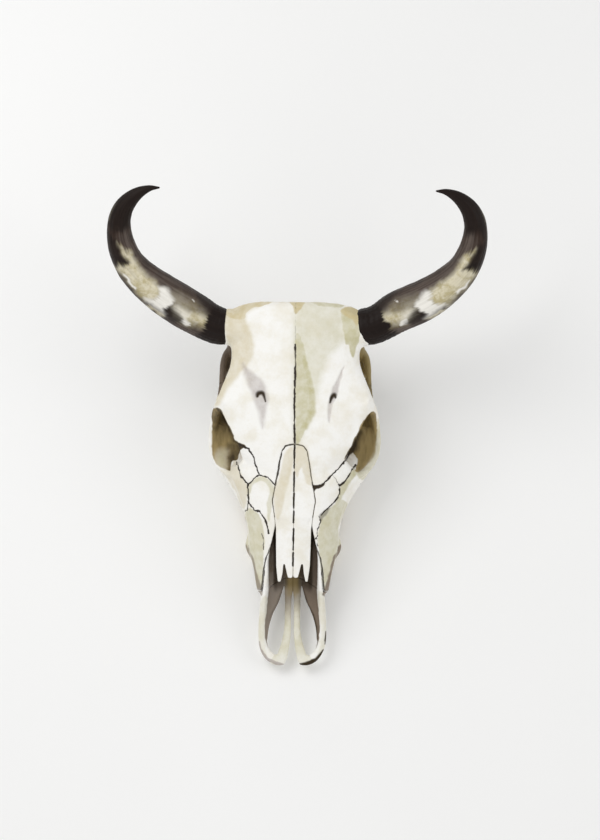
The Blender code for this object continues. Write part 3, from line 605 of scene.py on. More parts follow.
STAINS = (
    ("khaki", 9, 0.50, (
        (-1, -4), (30, -2), (62, -6), (66, -48), (50, -66), (38, -86), (33, -109), (29, -130), (24, -150),
        (10, -180), (-1, -184),
    )),
    ("khaki", 1.3, 0.82, (
        (-1, -52), (8, -50), (13, -70), (19, -92), (25, -112), (28, -130), (28, -142), (26, -154),
        (21, -165), (15, -174), (10, -183), (1, -187),
    )),
    ("khaki", 4.5, 0.98, (
        (13, -70), (19, -92), (25, -112), (28, -130), (28, -142), (26, -154), (21, -165), (15, -174),
        (6, -175), (10, -163), (15, -152), (18, -138), (17, -120), (13, -100), (8, -78),
    )),
    ("khaki", 1.2, 0.88, (
        (62, -9), (74, -4), (90, -10), (88, -27), (87, -46), (83, -63), (80, -74), (75, -66), (73, -57),
        (68, -55), (65, -39), (64, -27),
    )),
    ("tan", 1.2, 0.95, ((61, -9), (75, -3), (90, -11), (87, -22), (83, -31), (78, -22), (71, -18))),
    ("tan", 5, 0.62, (
        (-103, -8), (-67, 4), (-46, 2), (-59, -8), (-68, -14), (-70, -22), (-66, -34), (-61, -46),
        (-58, -60), (-60, -75), (-66, -85), (-80, -101), (-92, -117), (-101, -134), (-108, -143),
        (-116, -140), (-100, -100), (-92, -69), (-98, -39),
    )),
    ("tan", 1.4, 0.90, (
        (-100, -8), (-67, 6), (-37, 9), (-26, 4), (-44, -3), (-59, -7), (-68, -14), (-71, -22),
        (-83, -23), (-96, -19),
    )),
    ("tan", 1.2, 0.95, ((-10, 8), (13, 9), (8, -4), (0, -15), (-4, -8))),
    ("khaki", 1.2, 0.80, ((8, 8), (30, 4), (62, 2), (62, -5), (30, -3))),
    ("tan", 3, 0.50, (
        (-4, -198), (-12, -205), (-16, -218), (-18, -230), (-20, -242), (-26, -252), (-28, -271),
        (-24, -296), (-18, -290), (-12, -262), (-6, -238), (-1, -215),
    )),
    ("tan", 2.2, 0.48, (
        (2, -198), (14, -199), (19, -206), (22, -220), (24, -238), (26, -250), (18, -249), (14, -238),
        (10, -226), (4, -240), (1, -230),
    )),
    ("khaki", 1.6, 0.58, (
        (-50, -240), (-42, -239), (-33, -245), (-28, -253), (-29, -268), (-32, -290), (-35, -300),
        (-37, -280), (-34, -262), (-37, -250), (-45, -245), (-54, -249), (-59, -256), (-62, -272),
        (-64, -254), (-56, -244),
    )),
    ("tan", 2, 0.48, (
        (-103, -231), (-95, -231), (-86, -225), (-85, -219), (-78, -220), (-77, -228), (-71, -243),
        (-64, -254), (-65, -272), (-68, -284), (-74, -280), (-80, -262), (-92, -244),
    )),
    ("khaki", 1.8, 0.85, (
        (65, -251), (71, -244), (76, -237), (82, -228), (86, -235), (78, -246), (72, -256), (67, -264),
        (62, -278), (58, -276), (63, -259),
    )),
    ("khaki", 1.4, 0.68, (
        (-67, -293), (-62, -284), (-50, -289), (-45, -298), (-42, -312), (-40, -330), (-41, -350),
        (-41, -366), (-43, -390), (-52, -392), (-60, -360), (-72, -334), (-70, -318), (-68, -306),
    )),
    ("khaki", 1.4, 0.72, (
        (63, -271), (51, -281), (41, -289), (37, -295), (37.5, -302), (34.2, -315), (33.8, -330),
        (36.5, -350), (39, -370), (44, -395), (52, -380), (60, -347), (66, -334), (64, -320), (62, -308),
        (66, -297), (74, -283), (72, -274),
    )),
    ("slate", 1.3, 0.75, (
        (-69, -330), (-64, -336), (-58, -347), (-53, -358), (-50, -371), (-46, -386), (-42, -402),
        (-52, -402), (-60, -368), (-70, -348), (-77, -334),
    )),
    ("slate", 1.3, 0.95, (
        (63, -333), (61, -341), (56, -350), (52, -363), (49, -378), (45, -392), (41, -402), (52, -402),
        (60, -368), (70, -348), (74, -332),
    )),
    ("dark", 0.6, 1.00, (
        (24, -246), (27, -250), (37, -249), (43, -246), (39, -253), (31, -256), (28, -260), (26, -254),
    )),
    ("dark", 0.9, 0.96, (
        (83, -186), (76, -201), (71, -211), (69.8, -216.6), (72.2, -215.8), (75.1, -210.3),
        (80.2, -204.5), (82.8, -200.9), (85.8, -188.2),
    )),
    ("dark", 1.6, 0.55, ((35, -293), (40, -288), (50, -281), (46, -290), (41, -295), (38, -300))),
    ("khaki", 1.4, 0.62, (
        (113, -159), (118, -165), (120, -180), (118, -201), (113, -220), (103, -235), (94, -242),
        (86, -236), (84, -231), (92, -230), (102, -220), (109, -206), (113, -188),
    )),
    ("khaki", 3, 0.35, ((34, -402), (44, -402), (48, -450), (45, -480), (36, -490), (40, -450))),
    ("khaki", 3, 0.38, ((-34, -410), (-44, -410), (-48, -450), (-45, -480), (-36, -490), (-40, -450))),
)


def washes(surface):
    """The blotches of colour on the upper side, with edges that wander a little and dry a little darker."""
    top = smooth_step(-0.15, 0.30, surface.normals[:, 2])
    wave = np.stack([layered(surface.points, 0.009, 3, 20), layered(surface.points, 0.009, 3, 30)], axis=1)
    flat = surface.points[:, :2] + 0.0011 * wave
    for name, soft, strength, outline in STAINS:
        mask = stain(flat, millimetres(outline), soft / 1000)
        tide = 1 + 0.25 * smooth_step(0.0, 0.5, mask) * smooth_step(1.0, 0.7, mask)
        surface.add(name, strength * top * mask * tide)


def in_ellipsoid(points, centre, radii, turn):
    """How far points are from the middle of a turned ellipsoid, as a share of its size there."""
    turned = Matrix.Rotation(math.radians(turn[2]), 3, "Z") @ Matrix.Rotation(math.radians(turn[1]), 3, "Y")
    turned = turned @ Matrix.Rotation(math.radians(turn[0]), 3, "X")
    own = (points - np.array(centre)) @ np.array(turned)
    return np.linalg.norm(own / np.array(radii), axis=1)


# The brown stain inside each eye socket as seen from above, its pale part, the edge of bone before it that
# stays pale, and its dark upper edge of painted shade under the brow, with the line's width and strength, in
# millimetres

SOCKETS = (
    (-1, (
        (-116, -149), (-110, -146), (-106, -146), (-101, -150), (-97, -158), (-93, -167), (-88, -175),
        (-84, -184), (-83, -189), (-77, -193), (-67, -198), (-70, -206), (-76, -212), (-78, -218),
        (-85, -222), (-88, -232), (-94, -230), (-105, -226), (-112, -216), (-114, -206), (-114.5, -196),
        (-114.5, -180), (-114, -165),
    ), (
        (-106, -206), (-100, -203), (-92, -205), (-94.5, -213), (-93.5, -221), (-95, -230), (-106, -228),
        (-109, -217),
    ), (
        (-68.5, -200.5), (-73.3, -202.5), (-76.8, -209.3), (-78.8, -217.2), (-85, -219), (-87.7, -223),
        (-88, -230), (-84, -240), (-70, -230), (-63, -210),
    ), (
        (-106, -146), (-101, -150), (-93, -167), (-84, -184), (-83, -190), (-77, -194), (-68, -199.5),
    ), 5.2, 0.86),
    (1, (
        (107, -148), (111, -151), (112.5, -161), (113.5, -171), (113.5, -182), (112, -196), (108, -206),
        (105, -214), (102, -220), (96, -226), (91, -231), (86, -232), (83, -227), (83, -220), (76, -216),
        (69, -218), (70, -210), (75, -201), (79, -195), (83, -184), (87, -178), (91, -167), (96, -159),
        (102, -151),
    ), (
        (115, -186), (112, -200), (107, -213), (98, -226), (88, -234), (98, -238), (114, -222),
        (120, -200),
    ), (
        (80, -204.5), (82.5, -207), (86, -212.4), (87.2, -216.7), (85.5, -225), (84, -229), (76, -230),
        (66, -225), (69, -215), (75, -207.5),
    ), (
        (90, -177), (86, -186), (83, -195), (79, -202), (72, -212),
    ), 6.2, 0.96),
)
BEHIND_SOCKET = ((0.076, -0.146, -0.052), (0.024, 0.034, 0.026), (0, 0, 16))
TEMPLE = ((0.095, -0.100, -0.050), (0.032, 0.044, 0.025), (-10, 6, 8))


def caves(surface):
    """Brown stain in the eye sockets and the temples, and painted shade deep in the sockets and under the
    brow.
    """
    points = surface.points
    flat = points[:, :2] + 0.0006 * wander(points, 0.0040, 40)
    streaks = layered(points * (2.5, 0.6, 1.0), 0.008, 3, 42)
    below = smooth_step(-0.082, -0.090, points[:, 2]) * (1 - smooth_step(0.1, 0.4, surface.normals[:, 2]))
    for side, *shapes, wide, strength in SOCKETS:
        outline, pale, bare, edge = [millimetres(shape) for shape in shapes]
        own = points * (side, 1, 1)
        socket = in_ellipsoid(own, SOCKET_CENTRE, SOCKET_RADII, SOCKET_TURN)
        hollow = (1 - smooth_step(1.01, 1.06, socket)) * (own[:, 0] > 0.03) * (own[:, 2] < -0.012)
        seen = stain(flat, outline, 0.0007) * (points[:, 2] < 0.02) * (1 - below)
        cave = np.maximum(seen, hollow * (own[:, 0] < 0.112)) * (1 - stain(flat, bare, 0.0006))
        light = stain(flat, pale, 0.0065 if side < 0 else 0.0038)
        # Painted shade: brown deep in the socket, where the hollowness is high
        deep_in = smooth_step(1.45, 1.10, socket) * smooth_step(0.30, 0.60, surface.masks["hollow"])
        surface.add("brown", 0.80 * deep_in * (own[:, 0] > 0.02) * smooth_step(-0.012, -0.025, own[:, 2]))
        surface.masks["hollow"] *= 1 - seen
        surface.add("brown", cave * (0.95 - 0.62 * light))
        surface.add("khaki", cave * light * 0.75)
        away, _ = line_distance(flat, edge)
        deep = strength * np.exp(-(away / (wide / 1000)) ** 2)
        # Painted shade: dark along the upper edge under the brow, towards the socket's roof, and in a wedge
        # in the right socket, with streaks
        roof = (0.58 if side < 0 else 0.34) * smooth_step(-0.205, -0.150, own[:, 1])
        wedge = smooth_step(0.098, 0.089, own[:, 0]) * smooth_step(-0.188, -0.198, own[:, 1]) * (side < 0)
        wedge *= 0.76 + 0.24 * smooth_step(0.080, 0.073, own[:, 0])
        shade = np.maximum(np.maximum(deep, roof), wedge) + 0.24 * streaks
        surface.add("dark", cave * (1 - light) * np.clip(shade, 0.0, 0.97))
        behind = in_ellipsoid(own, *BEHIND_SOCKET)
        surface.add("brown", 0.8 * (1 - smooth_step(0.90, 1.25, behind)) * (own[:, 2] < -0.02))
        temple = 1 - smooth_step(1.02, 1.20, in_ellipsoid(own, *TEMPLE))
        surface.add("brown" if side > 0 else "slate", 0.55 * temple)
    low = smooth_step(-0.131, -0.125, points[:, 1]) * smooth_step(-0.044, -0.054, points[:, 1])
    low = low * smooth_step(-0.036, -0.042, points[:, 2]) * smooth_step(-0.10, 0.25, surface.normals[:, 2])
    right = low * smooth_step(-0.086, -0.089, points[:, 0])
    left = low * smooth_step(0.084, 0.087, points[:, 0])
    surface.add("slate", right)
    surface.add("khaki", left)
    surface.add("brown", 0.85 * left)
    surface.add("dark", 0.35 * right + (0.22 + 0.30 * smooth_step(-0.098, -0.116, points[:, 1])) * left)


# How far down inside the nose its stain and painted shade go
NOSE_PAINT_LOW = -0.067


def nose_stain_and_shade(surface):
    """Painted shade inside the nose, and the greyer slopes and middle strips of the incisive bones."""
    points = surface.points
    across, along, up = np.abs(points[:, 0]), points[:, 1], points[:, 2]
    left = points[:, 0] > 0
    wave = 0.0006 * noise(points, 0.005, 44)
    half = value_at(NOSE_OPENING, along)
    heights = value_at(PROFILE, along)
    inside = smooth_step(half, half - 0.0008, across) * (along < -0.235) * (along > -0.402)
    inside = inside * smooth_step(heights - 0.0050, heights - 0.0070, up) * (up > NOSE_PAINT_LOW)
    outer = value_at(SLOPE_OUTER, along)
    inner = value_at(HOLE_OUTER, along)
    slope = smooth_step(outer + 0.0004, outer - 0.0004, across + wave) * (across > inner - 0.0025)
    slope = slope * smooth_step(-0.478, -0.466, along + 4 * wave) * (up > -0.085) * (along < -0.372)
    strip_edge = value_at(STRIP_OUTER, along)
    strip = smooth_step(strip_edge + 0.0012, strip_edge, across) * (along < -0.376)
    grey = smooth_step(-0.440, -0.392, along + 6 * wave + np.where(left, 0.0, 0.012))
    # The slate of the nose's inside is painted shade. On the slopes it is grey stain and painted shade
    slate = np.maximum(inside, slope) * np.where(left, 1.0, 0.90) * (1 - strip)
    surface.add("slate", np.maximum(slate, 0.80 * strip * grey))
    surface.add("khaki", (0.30 + 0.30 * smooth_step(-0.500, -0.470, along)) * strip)
    # Painted shade: brown in the middle below the nasal tips
    middle = smooth_step(0.0120, 0.0060, across) * smooth_step(-0.412, -0.385, along + 4 * wave)
    surface.add("brown", 0.85 * middle * (along < -0.370) * (up > NOSE_PAINT_LOW))
    # Painted shade: dark in the slits beside the nasal bones, and beside and under their tips
    slit = smooth_step(-0.345, -0.315, along + 3 * wave)
    tips = smooth_step(-0.402, -0.386, along + 3 * wave)
    beside = np.exp(-((across - 0.0236) / 0.0036) ** 4)
    under = (across < 0.0225) * (1 - 0.6 * smooth_step(0.0100, 0.0040, across))
    surface.add("dark", 0.92 * inside * np.clip(slit + tips * np.maximum(beside, 0.8 * under), 0, 1))
    # Painted shade: dark along the edges of the gaps between the incisive bones
    brink = np.exp(-((across - inner) / np.where(left, 0.0017, 0.0022)) ** 2)
    brink = brink * np.where(left, 0.85, 0.55 * smooth_step(-0.450, -0.415, along))
    surface.add("dark", np.maximum(slope, inside) * brink * (along < -0.385))


# The front edges of the incisive bones, as (mask, width, strength, line of (across, along)), in tenths of a
# millimetre
TIP_STAINS = (
    ("mauve", 21, 0.80, ((-462, -4690), (-440, -4790), (-344, -4910), (-220, -4970), (-88, -5005))),
    ("dark", 30, 1.00, ((85, -5005), (208, -4975), (345, -4915), (440, -4800))),
    ("dark", 18, 0.95, ((474, -4530), (462, -4690))),
)


def tip_stain(surface):
    """The grey and brown front edges of the incisive bones."""
    for name, width, strength, line in TIP_STAINS:
        wide = width / 10000
        away, _ = line_distance(surface.points[:, :2], tenths(line))
        away = away + 0.0006 * noise(surface.points, 0.004, 9)
        faced = smooth_step(-0.15, 0.30, surface.normals[:, 2])
        surface.add(name, strength * faced * (1 - smooth_step(wide * 0.7, wide * 1.4, away)))


def relief(surface, strength=1.0):
    """The slight unevenness, pores and fine grain of dry bone."""
    points = surface.points
    surface.rise += strength * 0.00035 * layered(points, 0.026, 2, 50)
    surface.rise += strength * 0.00012 * layered(points, 0.0055, 3, 60)
    grain = noise(points * (3.2, 1.0, 3.2), 0.0052, 70)
    surface.rise -= strength * 0.00012 * np.clip(grain, 0, 1)
    pores = noise(points, 0.0019, 71)
    patchy = smooth_step(-0.1, 0.5, layered(points, 0.020, 2, 72))
    surface.rise -= strength * 0.00030 * smooth_step(0.50, 0.85, pores) * patchy


def rough_nape(surface):
    """The rough ground at the back of the skull, where the neck muscles held."""
    points = surface.points
    back = smooth_step(0.2, 0.7, surface.normals[:, 1]) * smooth_step(-0.01, 0.012, points[:, 1])
    rough = 0.0007 * layered(points, 0.009, 3, 80) - 0.0003 * np.abs(noise(points, 0.003, 81))
    surface.rise += back * rough
    surface.add("tan", 0.5 * back * (0.6 + 0.4 * layered(points, 0.015, 2, 82)))


# Materials

class Paint:
    """Adds nodes to one material. Each method returns the socket that it makes."""

    def __init__(self, name, roughness):
        self.material = bpy.data.materials.new(name)
        self.material.use_nodes = True
        self.nodes = self.material.node_tree.nodes
        self.links = self.material.node_tree.links
        self.shader = self.nodes["Principled BSDF"]
        self.shader.inputs["Roughness"].default_value = roughness
        self.place = self.nodes.new("ShaderNodeTexCoord").outputs["Object"]

    def feed(self, socket, value):
        if isinstance(value, bpy.types.NodeSocket):
            self.links.new(value, socket)
        else:
            socket.default_value = value

    def mask(self, name):
        node = self.nodes.new("ShaderNodeAttribute")
        node.attribute_name = name
        return node.outputs["Fac"]

    def noise(self, size, detail=3.0, rough=0.55, stretch=(1, 1, 1)):
        mapping = self.nodes.new("ShaderNodeMapping")
        mapping.inputs["Scale"].default_value = stretch
        self.feed(mapping.inputs["Vector"], self.place)
        node = self.nodes.new("ShaderNodeTexNoise")
        self.feed(node.inputs["Vector"], mapping.outputs["Vector"])
        node.inputs["Scale"].default_value = 1 / size
        node.inputs["Detail"].default_value = detail
        node.inputs["Roughness"].default_value = rough
        return node.outputs["Fac"]

    def cells(self, size):
        node = self.nodes.new("ShaderNodeTexVoronoi")
        self.feed(node.inputs["Vector"], self.place)
        node.inputs["Scale"].default_value = 1 / size
        return node.outputs["Distance"]

    def spread(self, source, low, high, new_low=0.0, new_high=1.0):
        node = self.nodes.new("ShaderNodeMapRange")
        node.interpolation_type = "SMOOTHSTEP"
        for i, value in enumerate((source, low, high, new_low, new_high)):
            self.feed(node.inputs[i], value)
        return node.outputs["Result"]

    def maths(self, operation, first, second=0.0):
        node = self.nodes.new("ShaderNodeMath")
        node.operation = operation
        self.feed(node.inputs[0], first)
        self.feed(node.inputs[1], second)
        return node.outputs["Value"]

    def mix(self, share, first, second, blend="MIX"):
        node = self.nodes.new("ShaderNodeMix")
        node.data_type = "RGBA"
        node.blend_type = blend
        self.feed(node.inputs["Factor"], share)
        self.feed(node.inputs["A"], first)
        self.feed(node.inputs["B"], second)
        return node.outputs["Result"]

    def bump(self, height, distance, strength, normal=None):
        node = self.nodes.new("ShaderNodeBump")
        self.feed(node.inputs["Height"], height)
        node.inputs["Distance"].default_value = distance
        node.inputs["Strength"].default_value = strength
        if normal is not None:
            self.feed(node.inputs["Normal"], normal)
        return node.outputs["Normal"]


def bone_material():
    paint = Paint("dry_bone", 0.7)
    mottle = paint.noise(0.030, 4.0, 0.6)
    fleck = paint.noise(0.0032, 3.0, 0.65)
    grain = paint.noise(0.0016, 4.0, 0.6, stretch=(1.0, 0.35, 1.0))
    colour = paint.mix(paint.spread(mottle, 0.38, 0.72), linear(BONE_PALE), linear(BONE_WARM))
    colour = paint.mix(paint.spread(fleck, 0.52, 0.80, 0.0, 0.45), colour, linear(BONE_WARM))
    blotch = paint.spread(paint.noise(0.012, 5.0, 0.65), 0.30, 0.70, 0.68, 1.0)
    for name, tone in (("khaki", BONE_KHAKI), ("tan", BONE_TAN), ("mauve", BONE_MAUVE)):
        colour = paint.mix(paint.maths("MULTIPLY", paint.mask(name), blotch), colour, linear(tone))
    # Grime and painted shade in the hollows, from the hollowness that the solids give
    hollow = paint.spread(paint.maths("MULTIPLY", paint.mask("hollow"), blotch), 0.30, 0.85, 0.0, 0.85)
    colour = paint.mix(hollow, colour, linear(GRIME_AND_SHADE))
    # Stains, and painted shade in the sockets, the nose, the holes and under the nasal bones
    for name, tone in (("slate", STAIN_AND_SHADE_SLATE), ("brown", STAIN_AND_SHADE_BROWN), ("dark", STAIN_AND_SHADE_DARK)):
        colour = paint.mix(paint.mask(name), colour, linear(tone))
    colour = paint.mix(paint.spread(paint.mask("seam"), 0.18, 0.70), colour, linear(SEAM_BROWN))
    pores = paint.spread(paint.cells(0.0011), 0.0, 0.35)
    paint.feed(paint.shader.inputs["Base Color"], colour)
    paint.feed(paint.shader.inputs["Roughness"], paint.spread(grain, 0.3, 0.7, 0.60, 0.82))
    normal = paint.bump(grain, 0.0004, 0.35)
    normal = paint.bump(pores, 0.0003, 0.25, normal)
    paint.feed(paint.shader.inputs["Normal"], normal)
    paint.shader.inputs["Specular IOR Level"].default_value = 0.35
    return paint.material


def tooth_material():
    paint = Paint("tooth_enamel", 0.35)
    stain = paint.spread(paint.noise(0.006, 4.0, 0.6, stretch=(1, 1, 0.35)), 0.45, 0.75)
    colour = paint.mix(stain, linear(ENAMEL), linear(DENTINE))
    colour = paint.mix(paint.mask("dentine"), colour, linear(DENTINE))
    streak = paint.spread(paint.noise(0.003, 4.0, 0.7, stretch=(1, 1, 0.3)), 0.50, 0.75)
    tartar = paint.maths("MULTIPLY", paint.mask("tartar"), paint.maths("ADD", streak, 0.45))
    colour = paint.mix(tartar, colour, linear(TARTAR))
    paint.feed(paint.shader.inputs["Base Color"], colour)
    paint.feed(paint.shader.inputs["Roughness"], paint.spread(streak, 0.0, 1.0, 0.30, 0.62))
    paint.feed(paint.shader.inputs["Normal"], paint.bump(streak, 0.0003, 0.3))
    return paint.material


def horn_material():
    paint = Paint("horn_sheath", 0.5)
    fibre = paint.mask("fibre")
    cream = paint.spread(paint.noise(0.016, 5.0, 0.72), 0.36, 0.60)
    cream = paint.mix(cream, linear(HORN_KHAKI), linear(HORN_CREAM))
    cloud = paint.noise(0.014, 4.0, 0.6)
    colour = paint.mix(paint.spread(cloud, 0.35, 0.70), linear(HORN_BROWN), linear(HORN_BLACK))
    dim = paint.spread(fibre, 0.10, 0.90, 1.0, 0.55)
    colour = paint.mix(paint.maths("MULTIPLY", paint.mask("grey"), dim), colour, linear(HORN_GREY))
    colour = paint.mix(paint.spread(fibre, 0.20, 0.90, 0.0, 0.24), colour, linear(HORN_BROWN))
    colour = paint.mix(paint.mask("cream"), colour, cream)
    colour = paint.mix(paint.mask("white"), colour, linear(HORN_WHITE_AND_HIGHLIGHT))
    colour = paint.mix(paint.mask("black"), colour, linear(HORN_BLACK))
    colour = paint.mix(paint.spread(fibre, 0.20, 0.90, 0.0, 0.10), colour, linear(HORN_BROWN))
    paint.feed(paint.shader.inputs["Base Color"], colour)
    paint.feed(paint.shader.inputs["Roughness"], paint.spread(fibre, 0.0, 1.0, 0.44, 0.60))
    fine = paint.noise(0.0012, 3.0, 0.6)
    normal = paint.bump(fibre, 0.0005, 0.4)
    paint.feed(paint.shader.inputs["Normal"], paint.bump(fine, 0.0002, 0.25, normal))
    paint.shader.inputs["Specular IOR Level"].default_value = 0.16
    return paint.material


def floor_material():
    paint = Paint("pale_floor", 0.9)
    colour = paint.mix(paint.noise(0.4, 2.0), linear(FLOOR_WHITE), linear(FLOOR_SHADE))
    paint.feed(paint.shader.inputs["Base Color"], colour)
    paint.shader.inputs["Specular IOR Level"].default_value = 0.1
    return paint.material


# Bones

TOOTH_LENGTHS = (0.0165, 0.0185, 0.0185, 0.0240, 0.0275, 0.0290)
TOOTH_WIDTHS = (0.0150, 0.0180, 0.0200, 0.0225, 0.0235, 0.0220)
PREMOLARS = 3
TOOTH_ROW_FRONT = -0.3215
TOOTH_ROW_ACROSS = (0.0455, 0.0575)
TOOTH_FOOT = 0.0004
CROWN_DEPTH = 0.0011
CROWN_ROUNDNESS = 0.72
SOCKET_EDGE = 0.0205
TOOTH_TOP = 0.034
# The corners, as (across, along), of the block that takes a row of plain teeth off, and its underside
CUT_CORNERS = ((0.028, -0.345), (0.086, -0.345), (0.086, -0.170), (0.028, -0.170))
CUT_BOTTOM = -0.01


def tooth_cutter():
    """Two blocks that take the plain teeth off the cranium below the edge of their sockets."""
    points = []
    faces = []
    for side in (1, -1):
        base = len(points)
        for height in (CUT_BOTTOM, SOCKET_EDGE):
            for across, along in CUT_CORNERS:
                points.append((side * across, along + POLL[1], height))
        ring = [(3, 2, 1, 0), (4, 5, 6, 7), (0, 1, 5, 4), (1, 2, 6, 5), (2, 3, 7, 6), (3, 0, 4, 7)]
        for face in ring:
            face = tuple(base + i for i in face)
            faces.append(face if side > 0 else face[::-1])
    return linked("tooth_cutter", mesh_of("tooth_cutter", points, faces))


def tooth_outline(length, width, lobes, count=64):
    """The outline of a cheek tooth's crown, with ridges on the cheek side and lobes on the tongue side."""
    outline = []
    for i in range(count):
        angle = 2 * math.pi * i / count
        out = math.copysign(abs(math.cos(angle)) ** CROWN_ROUNDNESS, math.cos(angle)) * width / 2
        along = math.copysign(abs(math.sin(angle)) ** CROWN_ROUNDNESS, math.sin(angle)) * length / 2
        share = along / (length / 2)
        if out > 0:
            for ridge in ((-0.9, 0.0, 0.9) if lobes == 2 else (-0.8, 0.1, 0.8)):
                out += 0.0011 * math.exp(-((share - ridge) / 0.16) ** 2)
            for dip in ((-0.45, 0.45) if lobes == 2 else (-0.35, 0.45)):
                out -= 0.0009 * math.exp(-((share - dip) / 0.22) ** 2)
        elif lobes == 2:
            out += 0.0036 * math.exp(-(share / 0.17) ** 2)
            out -= 0.0010 * math.exp(-(share / 0.07) ** 2)
        outline.append((out, along))
    return np.array(outline)


def tooth(points, faces, masks, side, across, middle, length, width, lobes):
    """One cheek tooth from its chewing surface at the floor up into its socket."""
    outline = tooth_outline(length, width, lobes)
    count = len(outline)
    base = len(points)
    insets = np.linspace(0.08, 0.96, 12)
    walls = []
    for share in np.linspace(0.03, 1, 11):
        swell = 0.955 + 0.045 * math.sin(math.pi * min(1, share * 1.6))
        walls.append((TOOTH_FOOT + (TOOTH_TOP - TOOTH_FOOT) * share, swell))
    crescents = []
    for lobe in range(lobes):
        centre = (lobe + 0.5) / lobes * length - length / 2
        arc = [
            (-0.06 * width + 0.17 * width * math.cos(t), centre + 0.30 * length / lobes * math.sin(t))
            for t in np.linspace(-1.25, 1.25, 9)
        ]
        crescents.append(np.array(arc))
    for inset in insets:
        for out, along in outline * inset:
            rim = 0.0010 * math.exp(-((1 - inset) * width / 2 / 0.0008) ** 2)
            away = min(float(line_distance(np.array([(out, along)]), arc)[0][0]) for arc in crescents)
            ridge = math.exp(-((away - 0.0013) / 0.0005) ** 2)
            lake = math.exp(-(away / 0.0008) ** 2)
            height = TOOTH_FOOT + CROWN_DEPTH - rim - 0.0009 * ridge + 0.0018 * lake
            points.append((side * (across + out), middle + along + POLL[1], max(height, TOOTH_FOOT)))
            masks["dentine"].append(max(0.0, 0.9 - ridge - 900 * rim))
            masks["tartar"].append(lake)
    for height, swell in walls:
        neck = math.exp(-((height - SOCKET_EDGE) / 0.003) ** 2)
        for out, along in outline * swell:
            points.append((side * (across + out), middle + along + POLL[1], height))
            groove = abs(along) < 0.0016 and lobes == 2
            masks["dentine"].append(0.15)
            masks["tartar"].append(min(1.0, 0.75 * neck + 0.45 * groove + 0.10))
    rings = len(insets) + len(walls)
    centre = len(points)
    points.append((side * across, middle + POLL[1], TOOTH_FOOT + CROWN_DEPTH))
    points.append((side * across, middle + POLL[1], TOOTH_TOP))
    masks["dentine"] += [0.9, 0.0]
    masks["tartar"] += [0.0, 0.0]
    for j in range(count):
        k = (j + 1) % count
        top = base + (rings - 1) * count
        fan = [(base + j, centre, base + k), (top + j, top + k, centre + 1)]
        for ring in range(rings - 1):
            low = base + ring * count
            fan.append((low + j, low + k, low + count + k, low + count + j))
        faces.extend(face if side > 0 else face[::-1] for face in fan)


def teeth(side, name, material):
    """A row of six cheek teeth: premolars of one lobe, then molars of two."""
    points, faces = [], []
    masks = {"dentine": [], "tartar": []}
    front = TOOTH_ROW_FRONT
    row_length = sum(TOOTH_LENGTHS)
    for number, (length, width) in enumerate(zip(TOOTH_LENGTHS, TOOTH_WIDTHS)):
        share = (front + length / 2 - TOOTH_ROW_FRONT) / row_length
        bow = 0.004 * math.sin(math.pi * share)
        across = TOOTH_ROW_ACROSS[0] + (TOOTH_ROW_ACROSS[1] - TOOTH_ROW_ACROSS[0]) * share + bow
        lobes = 1 if number < PREMOLARS else 2
        tooth(points, faces, masks, side, across, front + length / 2, length * 1.01, width, lobes)
        front += length
    mesh = mesh_of(name, points, faces)
    write_masks(mesh, masks)
    return piece(name, mesh, material, "bone", "cranium")


def cranium(material, felt):
    cutter = tooth_cutter()
    surface = Surface(fine_mesh("cranium", CRANIUM_VOXEL, CRANIUM_ROUNDS, cutter))
    bpy.data.objects.remove(cutter)
    grime_and_shade(surface, felt)
    relief(surface)
    rough_nape(surface)
    cranium_sutures(surface)
    side_sutures(surface)
    brow_grooves(surface)
    vessel_holes(surface)
    washes(surface)
    caves(surface)
    nose_stain_and_shade(surface)
    surface.finish()
    return piece("cranium_bone", surface.mesh, material, "bone", "cranium")


# The dark stretches of the line between the nasal bones, from and to along, in tenths of a millimetre
MIDDLE_DASHES = (
    (-1960, -2270), (-2330, -2590), (-2620, -2820), (-2870, -3020), (-3110, -3400), (-3440, -3620),
)


def nasal(side, name, node, material, felt):
    """A nasal bone, darkened along the middle and where it meets its neighbours, with painted shade on its
    underside.
    """
    surface = Surface(fine_mesh(node, SMALL_BONE_VOXEL, SMALL_BONE_ROUNDS))
    grime_and_shade(surface, felt)
    relief(surface, 0.8)
    top = upward(surface, 0.0)
    for start, end in tenths(MIDDLE_DASHES):
        seam(surface, ((0.0001 * side, start), (-0.0002, end)), top, depth=0.0005, wiggle=0.0003)
    bone_edges(surface, top)
    washes(surface)
    # Painted shade: brown and dark on the faces that look down into the nose
    under = smooth_step(0.1, -0.4, surface.normals[:, 2])
    surface.add("brown", under)
    surface.add("dark", 0.8 * under)
    surface.finish()
    return piece(name, surface.mesh, material, "bone", node)


def incisive(name, node, material, felt):
    surface = Surface(fine_mesh(node, SMALL_BONE_VOXEL, SMALL_BONE_ROUNDS))
    grime_and_shade(surface, felt, 0.5)
    relief(surface, 0.8)
    bone_edges(surface, upward(surface))
    washes(surface)
    nose_stain_and_shade(surface)
    tip_stain(surface)
    surface.finish()
    return piece(name, surface.mesh, material, "bone", node)


# Horns, along the same centre lines as the solids: across, along, up and radius, in tenths of a millimetre

HORN_LINE = (
    (985, -330, -300, 252), (1095, -315, -300, 258), (1225, -262, -292, 266), (1370, -178, -270, 280),
    (1560, -70, -220, 287), (1810, 83, -130, 278), (2090, 290, 10, 247), (2300, 516, 160, 212),
    (2418, 778, 310, 188), (2450, 1024, 430, 162), (2420, 1198, 510, 146), (2340, 1344, 580, 122),
    (2205, 1468, 650, 87), (2045, 1541, 700, 46), (1900, 1555, 730, 12),
)
HORN_SIDES = 150
HORN_ANGLES = 2 * math.pi * np.arange(HORN_SIDES) / HORN_SIDES
HORN_STEPS = 28
HORN_ASPECT = 17.0
LIP_ROOT = 0.020
GRAIN_RADIUS = 0.024
# Where the horn is shifted most near its base, and how far the shift spreads, as a share of its length
LIFT_PLACE = 0.13

